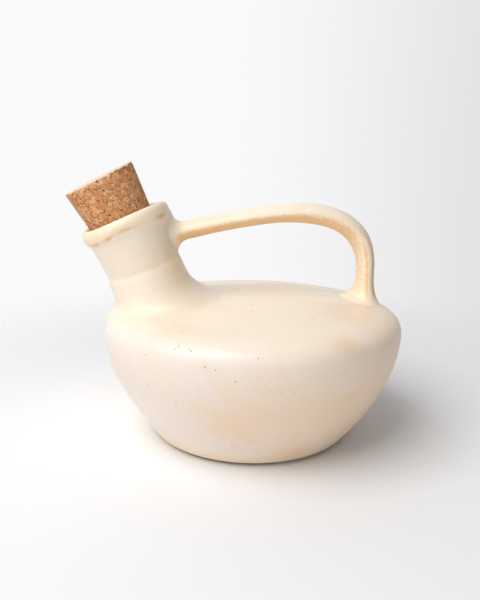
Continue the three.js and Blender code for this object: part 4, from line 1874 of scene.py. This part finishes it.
        hidden = [ring(s, lift * s, -self.tuck, 0.0) for s in (0.25, 0.5, 0.75, 0.95)]
        bow = np.linspace(0, 1, 30) ** 1.25 * (math.pi / 2)
        stand_off = lift * (1 - np.cos(bow)) - self.sink
        grows = lift * (1 - np.sin(bow))
        skin = [ring(1.0, grow, off, 1 - grow / lift) for grow, off in zip(grows, stand_off)]
        return np.array(hidden + skin), np.append(np.full(len(hidden), lift), stand_off)

    def pulled(self, along: Array) -> Array:
        """Thickness of the strap, as a share of the plain one.

        Args:
            along: places along it, from 0 to 1.

        Returns:
            The share at each.
        """
        run = smooth(along, *self.run_from) * self.run_thin
        bend = smooth(along, *self.bend_from) * self.bend_thick
        leg = smooth(along, *self.leg_from) * (self.bend_thick - self.run_thin)
        return 1 - run + bend - leg

    def strap_rings(self, down: Array) -> list[Array]:
        """Rings of the strap between its roots.

        Args:
            down: the way that its leg runs.

        Returns:
            The rings, from the neck to the foot.
        """
        start = self.neck_point + self.neck_root * self.start_way
        crest = np.array([self.leg_x - self.bend_x, 0.0, self.crest_z])
        leg_top = np.array([self.leg_x, 0.0, self.crest_z - self.bend_z])
        curves = (
            ([start, start + self.start_pull * self.start_way, crest - (self.crest_pull, 0, 0), crest], 46),
            ([crest, crest + (self.bend_pull_x, 0, 0), leg_top + (0, 0, self.bend_pull_z), leg_top], 56),
            ([leg_top, self.foot_point - self.foot_root * down], 12),
        )
        paths = [(points, np.linspace(0, 1, count)[1:]) for points, count in curves]
        middles, ways = (np.vstack([line(*path) for path in paths]) for line in (bezier, tangents))
        shares = self.pulled(np.linspace(0, 1, len(middles)))
        places = zip(middles, ways, shares)
        return [self.beside(middle, way, self.section() * (share, 1.0)) for middle, way, share in places]

    def make(self, shaper: Shaper, mouth: Object, dome: Object) -> Object:
        """Makes the handle, from its root under the lip to its foot on the shoulder.

        Args:
            shaper: what glazed pieces are made with.
            mouth: the piece that its upper root lies on.
            dome: the piece that its foot lies on.

        Returns:
            The piece.
        """
        first, down = self.start_way, np.array([0.0, 0.0, -1.0])
        neck_root, neck_off = self.root_rings(
            self.neck_point, first, self.back_to_neck, first, self.neck_root, self.neck_spread
        )
        foot_root, foot_off = self.root_rings(
            self.foot_point,
            down,
            lambda points, _: self.down_to_shoulder(points),  # it has no nook to fill
            -down,
            self.foot_root,
            self.foot_spread,
        )
        strap = self.strap_rings(down)[:-1]
        rings = np.concatenate([neck_root, strap, foot_root[::-1]])[:, ::-1]
        tips = (
            self.back_to_neck(self.neck_point[None])[0] - self.tuck * first,
            self.foot_point + self.tuck * down,
        )
        skin = Skin(rings, tips)
        off_neck, off_foot = np.full(len(rings), self.neck_root), np.full(len(rings), self.foot_root)
        off_neck[: len(neck_off)] = neck_off
        off_foot[-len(foot_off):] = foot_off[::-1]
        side = -self.section()[::-1, 0] / (self.thick / 2)
        below = skin.spread(np.repeat(side[None, :], len(rings), 0))
        coat = self.coat(below, skin.spread(np.linspace(0, 1, len(rings))))
        neck_coat = self.neck.coat(self.neck.local(skin.points))
        foot_coat = self.body.coat(skin.points) + self.round_foot(skin.points)
        seams = (
            (Share.SEAM_NECK, off_neck, self.neck_root * self.neck_tint, neck_coat, mouth),
            (Share.SEAM_FOOT, off_foot, self.foot_root * self.foot_tint, foot_coat, dome),
        )
        for seam, off, reach, host_coat, _ in seams:
            skin.maps[seam.value] = skin.spread(smooth(off, *self.seam_fade))
            share = skin.spread(smooth(off, reach, 0.0))[:, None]
            coat = coat * (1 - share) + host_coat * share
        made = shaper.make("handle_glazed", skin, coat, 1.0, shaper.cream)
        for seam, *_, host in seams:
            shaper.join_seam(made, host, seam)
        return settle(made, Body.POT, "handle")


@dataclass
class Pinholes:
    """Tiny pits where bubbles burst in the glaze: a few on the front, the rest strewn by chance."""

    front: tuple[Place, ...] = (
        (-48.7, -66.4, 69.6), (-47.1, -66.0, 70.6), (-42.3, -69.7, 70.3), (-41.5, -71.1, 69.6),
        (-35.6, -77.2, 63.3), (-30.8, -79.2, 62.4), (-21.6, -82.0, 57.2), (-11.2, -82.4, 68.6),
        (-70.1, -5.2, 74.3), (-59.9, -36.3, 74.3), (-62.9, -57.1, 63.9), (-62.3, -54.6, 46.8),
        (-48.6, -65.1, 41.7), (25.0, -43.3, 76.7), (16.1, -82.6, 66.9), (48.9, -69.1, 56.3),
        (5.4, -32.4, 78.6),
    )
    radius: float = 0.42
    rim_height: float = 0.05
    outline: tuple[Pair, ...] = (  # shares of the radius and of the rim's height
        (0.45, -0.9),
        (1.0, -0.6),
        (1.0, 0.3),
        (0.72, 1.0),
        (0.4, 0.2),
    )
    density: float = 700.0  # on a square metre
    sizes: Span = (0.35, 0.95)
    least_hand: float = 0.9  # they lie on the outside alone
    seed: int = 7
    sides: int = 10

    def crater(self) -> Object:
        """Makes one pit with a low rim, as a small closed shape.

        Returns:
            The shape.
        """
        outline = np.array(self.outline) * (self.radius, self.rim_height)
        skin = Skin(revolve(outline, self.sides), on_axis(outline[0, 1], 0.0))
        return skin.mesh_object("pinhole_crater", sharp=60.0)

    def recipe(self) -> Recipe:
        """Recipe that strews pits over the glaze and adds the ones that were placed.

        Returns:
            The recipe.
        """
        recipe = Recipe("strewn_pinholes")
        wires = recipe.wires
        host, pit = (recipe.add(name, "NodeSocketObject") for name in ("Glaze_skin", "Pit"))
        density, seed = recipe.add("Density"), recipe.add("Seed", "NodeSocketInt")
        info = (wires.node("GeometryNodeObjectInfo", {"Object": made}) for made in (host, pit))
        skin, shape = (node.outputs["Geometry"] for node in info)
        outside = wires.math("GREATER_THAN", wires.stored(Share.HAND), self.least_hand)
        y = wires.split(wires.node("GeometryNodeInputPosition").outputs[0])[1]
        behind = wires.math("GREATER_THAN", y, 0.0)
        chance = {"Mesh": skin, "Selection": wires.times(outside, behind), "Density": density, "Seed": seed}
        strewn = wires.node("GeometryNodeDistributePointsOnFaces", chance).outputs
        low, high = self.sizes
        random = {2: low, 3: high, "Seed": seed}
        sizes = wires.node("FunctionNodeRandomValue", random, data_type="FLOAT").outputs[1]
        normal = wires.node("GeometryNodeInputNormal").outputs[0]
        read = {"Mesh": skin, "Value": normal}
        nearest = wires.node("GeometryNodeSampleNearestSurface", read, data_type="FLOAT_VECTOR")
        way = {"Vector": nearest.outputs["Value"]}
        upright = wires.node("FunctionNodeAlignRotationToVector", way, axis="Z").outputs[0]
        placed = wires.node("GeometryNodeMeshToPoints", {"Mesh": recipe.geometry}).outputs[0]
        both = wires.node("GeometryNodeJoinGeometry")
        kinds = ((strewn["Points"], strewn["Rotation"], sizes), (placed, upright, (1.0, 1.0, 1.0)))
        for points, rotation, size in kinds:
            inputs = {"Points": points, "Instance": shape, "Rotation": rotation, "Scale": size}
            pits = wires.node("GeometryNodeInstanceOnPoints", inputs)
            wires.feed(both.inputs[0], pits.outputs[0])
        recipe.close(both.outputs[0])
        return recipe

    @staticmethod
    def joined(hosts: Sequence[Object]) -> Object:
        """Makes one skin of several pieces, with their shares of the hand's unevenness.

        Args:
            hosts: the pieces.

        Returns:
            A helper object.
        """
        mesh = bpy.data.meshes.new("glaze_skin")
        points, faces = [], []
        for host in hosts:
            start = len(points)
            points += [tuple(v.co) for v in host.data.vertices]
            faces += [tuple(start + i for i in p.vertices) for p in host.data.polygons]
        mesh.from_pydata(points, [], faces)
        hand = np.concatenate([read_share(host, Share.HAND) for host in hosts])
        mesh.attributes.new(Share.HAND.value, "FLOAT", "POINT").data.foreach_set("value", hand)
        return add_object("glaze_skin", mesh)

    def make(self, hosts: Sequence[Object], finish: PinholeSpot) -> Object:
        """Makes the pits on glazed pieces.

        Args:
            hosts: the pieces that they lie on.
            finish: the look of their bottoms.

        Returns:
            The piece that holds them all.
        """
        skin, crater = self.joined(hosts), self.crater()
        mesh = bpy.data.meshes.new("glaze_pinholes")
        mesh.from_pydata([tuple(c * MM for c in place) for place in self.front], [], [])
        made = self.recipe().apply(
            add_object("glaze_pinholes", mesh),
            finish.material(),
            Glaze_skin=skin,
            Pit=crater,
            Density=self.density,
            Seed=self.seed,
        )
        discard(skin, crater)
        return settle(made, Body.POT)


# Studio


@dataclass(frozen=True)
class Softbox:
    """A rectangular lamp that points at a place."""

    name: str
    azimuth: float  # degrees from +X towards +Y
    elevation: float
    distance: float  # metres
    size: Pair
    power: float
    aim: Place = (0.0, 0.0, 0.06)

    def make(self) -> None:
        """Adds the lamp."""
        a, e = math.radians(self.azimuth), math.radians(self.elevation)
        back = Vector((math.cos(a) * math.cos(e), math.sin(a) * math.cos(e), math.sin(e)))
        data = bpy.data.lights.new(self.name, "AREA")
        data.shape = "RECTANGLE"
        data.size, data.size_y = self.size
        data.energy = self.power
        lamp = add_object(self.name, data)
        lamp.location = Vector(self.aim) + back * self.distance
        lamp.rotation_mode = "QUATERNION"
        lamp.rotation_quaternion = (-back).to_track_quat("-Z", "Y")


@dataclass
class Studio:
    """A pale sweep, soft lamps and the camera at the photograph's view."""

    key: Softbox = Softbox("key", 210.0, 54.5, 1.3, (1.1, 1.1), 16.0)
    front_light: float = 1.38
    front: Span = (0.2, -0.9)  # parts of a unit vector, here and in the next ones
    front_high: Span = (0.8, 0.2)  # the front light thins out upwards
    right_shade: float = 0.6  # and all of it thins out towards the right
    right: Span = (0.2, 0.8)
    rear_light: float = 1.1
    rear: Span = (-0.2, 0.9)
    pale_left: Colour = (0.955, 0.955, 0.965)
    pale_right: Colour = (0.73, 0.715, 0.74)
    greyer: Span = (0.1, 0.62)
    floor_colour: Colour = (0.87, 0.862, 0.868)
    floor_seen: Colour = (0.93, 0.928, 0.94)
    floor_radius: float = 1.2  # metres, as the other sizes of the floor
    floor_fades: Span = (0.13, 0.42)  # the floor is plain near the pot, and fades into the backdrop
    floor_drop: float = 0.0002
    floor_sides: int = 96
    distance: float = 380.0
    height: float = 166.893
    turned: float = math.radians(10.0)
    pitch: float = math.radians(13.3586)
    yaw: float = math.radians(-1.0551)
    roll: float = math.radians(-0.7439)
    focal_pixels: float = 668.1
    picture_height: float = 600.0
    sensor: float = 36.0
    clip_start: float = 0.01

    def camera(self) -> None:
        """Places the camera."""
        c_yaw, s_yaw = math.cos(self.yaw), math.sin(self.yaw)
        c_pitch, s_pitch = math.cos(self.pitch), math.sin(self.pitch)
        c_roll, s_roll = math.cos(self.roll), math.sin(self.roll)
        right = Vector((c_yaw, -s_yaw, 0.0))
        forward = Vector((s_yaw * c_pitch, c_yaw * c_pitch, -s_pitch))
        up = Vector((s_yaw * s_pitch, c_yaw * s_pitch, c_pitch))
        rolled = (c_roll * right - s_roll * up, s_roll * right + c_roll * up, -forward)
        axes = Matrix(rolled).transposed().to_4x4()
        place = Matrix.Translation(Vector((0.0, -self.distance, self.height)) * MM)
        data = bpy.data.cameras.new("camera")
        data.sensor_width = self.sensor
        data.lens = self.focal_pixels / self.picture_height * self.sensor
        data.clip_start = self.clip_start
        camera = add_object("camera", data)
        camera.matrix_world = Matrix.Rotation(-self.turned, 4, "Z") @ place @ axes
        bpy.context.scene.camera = camera

    def floor(self) -> None:
        """Lays a round pale floor that fades into the backdrop."""
        rim = polar(self.floor_radius, turn(self.floor_sides), -self.floor_drop)
        mesh = bpy.data.meshes.new("floor")
        mesh.from_pydata(rim.tolist(), [], [tuple(range(self.floor_sides))])
        mesh.materials.append(self.floor_material())
        add_object("floor", mesh)

    def floor_material(self) -> Material:
        """Matt paper, seen through far from the pot.

        Returns:
            The material.
        """
        made, wires, at = Wires.of_material("sweep_paper")
        away = wires.node("ShaderNodeVectorMath", {0: at}, operation="LENGTH").outputs["Value"]
        colour = wires.mix(wires.seen(), self.floor_colour, self.floor_seen)
        paper = wires.node("ShaderNodeBsdfDiffuse", {"Color": colour}).outputs[0]
        clear = wires.node("ShaderNodeBsdfTransparent").outputs[0]
        far = wires.step(away, *self.floor_fades)
        wires.end(wires.node("ShaderNodeMixShader", {0: far, 1: paper, 2: clear}))
        return made

    def world(self) -> None:
        """Sets soft light from all round, and a pale backdrop that is greyer to the right."""
        world = bpy.data.worlds.new("studio")
        world.use_nodes = True
        world.node_tree.nodes.clear()
        wires = Wires(world.node_tree)
        x, y, z = wires.split(wires.node("ShaderNodeTexCoord").outputs["Generated"])
        backdrop = wires.mix(wires.step(x, *self.greyer), self.pale_left, self.pale_right)
        front = wires.step(y, *self.front, (0.0, self.front_light))
        front = wires.times(front, wires.step(z, *self.front_high))
        rear = wires.step(y, *self.rear, (0.0, self.rear_light))
        shade = wires.step(x, *self.right, (1.0, 1 - self.right_shade))
        level = wires.times(wires.plus(front, rear), shade)
        soft = wires.node("ShaderNodeBackground", {"Strength": level}).outputs[0]
        pale = wires.node("ShaderNodeBackground", {0: backdrop}).outputs[0]
        shader = wires.node("ShaderNodeMixShader", {0: wires.seen(), 1: soft, 2: pale})
        wires.node("ShaderNodeOutputWorld", {"Surface": shader.outputs[0]})
        bpy.context.scene.world = world

    def make(self) -> None:
        """Builds the whole studio."""
        bpy.context.scene.view_settings.view_transform = "Standard"
        self.camera()
        self.floor()
        self.world()
        self.key.make()


def main() -> None:
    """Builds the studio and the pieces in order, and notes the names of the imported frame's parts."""
    logging.basicConfig(level=logging.INFO, format="%(message)s")
    LOG.info("frame: %s", ", ".join(sorted(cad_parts)))
    Studio().make()
    body = PotBody()
    cork = CorkStopper()
    neck = Neck(body, cork)
    handle = Handle(body, neck)
    shaper = Shaper(Glaze("ivory_glaze").material(), Glaze("cream_glaze").material())
    bowl = body.bowl(shaper)
    dome = body.dome(shaper, neck, handle)
    mouth = neck.mouth(shaper)
    neck.collar(shaper, dome)
    handle.make(shaper, mouth, dome)
    cork.make(neck, CorkGrain())
    Pinholes().make((bowl, dome), PinholeSpot())


if __name__ == "__main__":
    main()
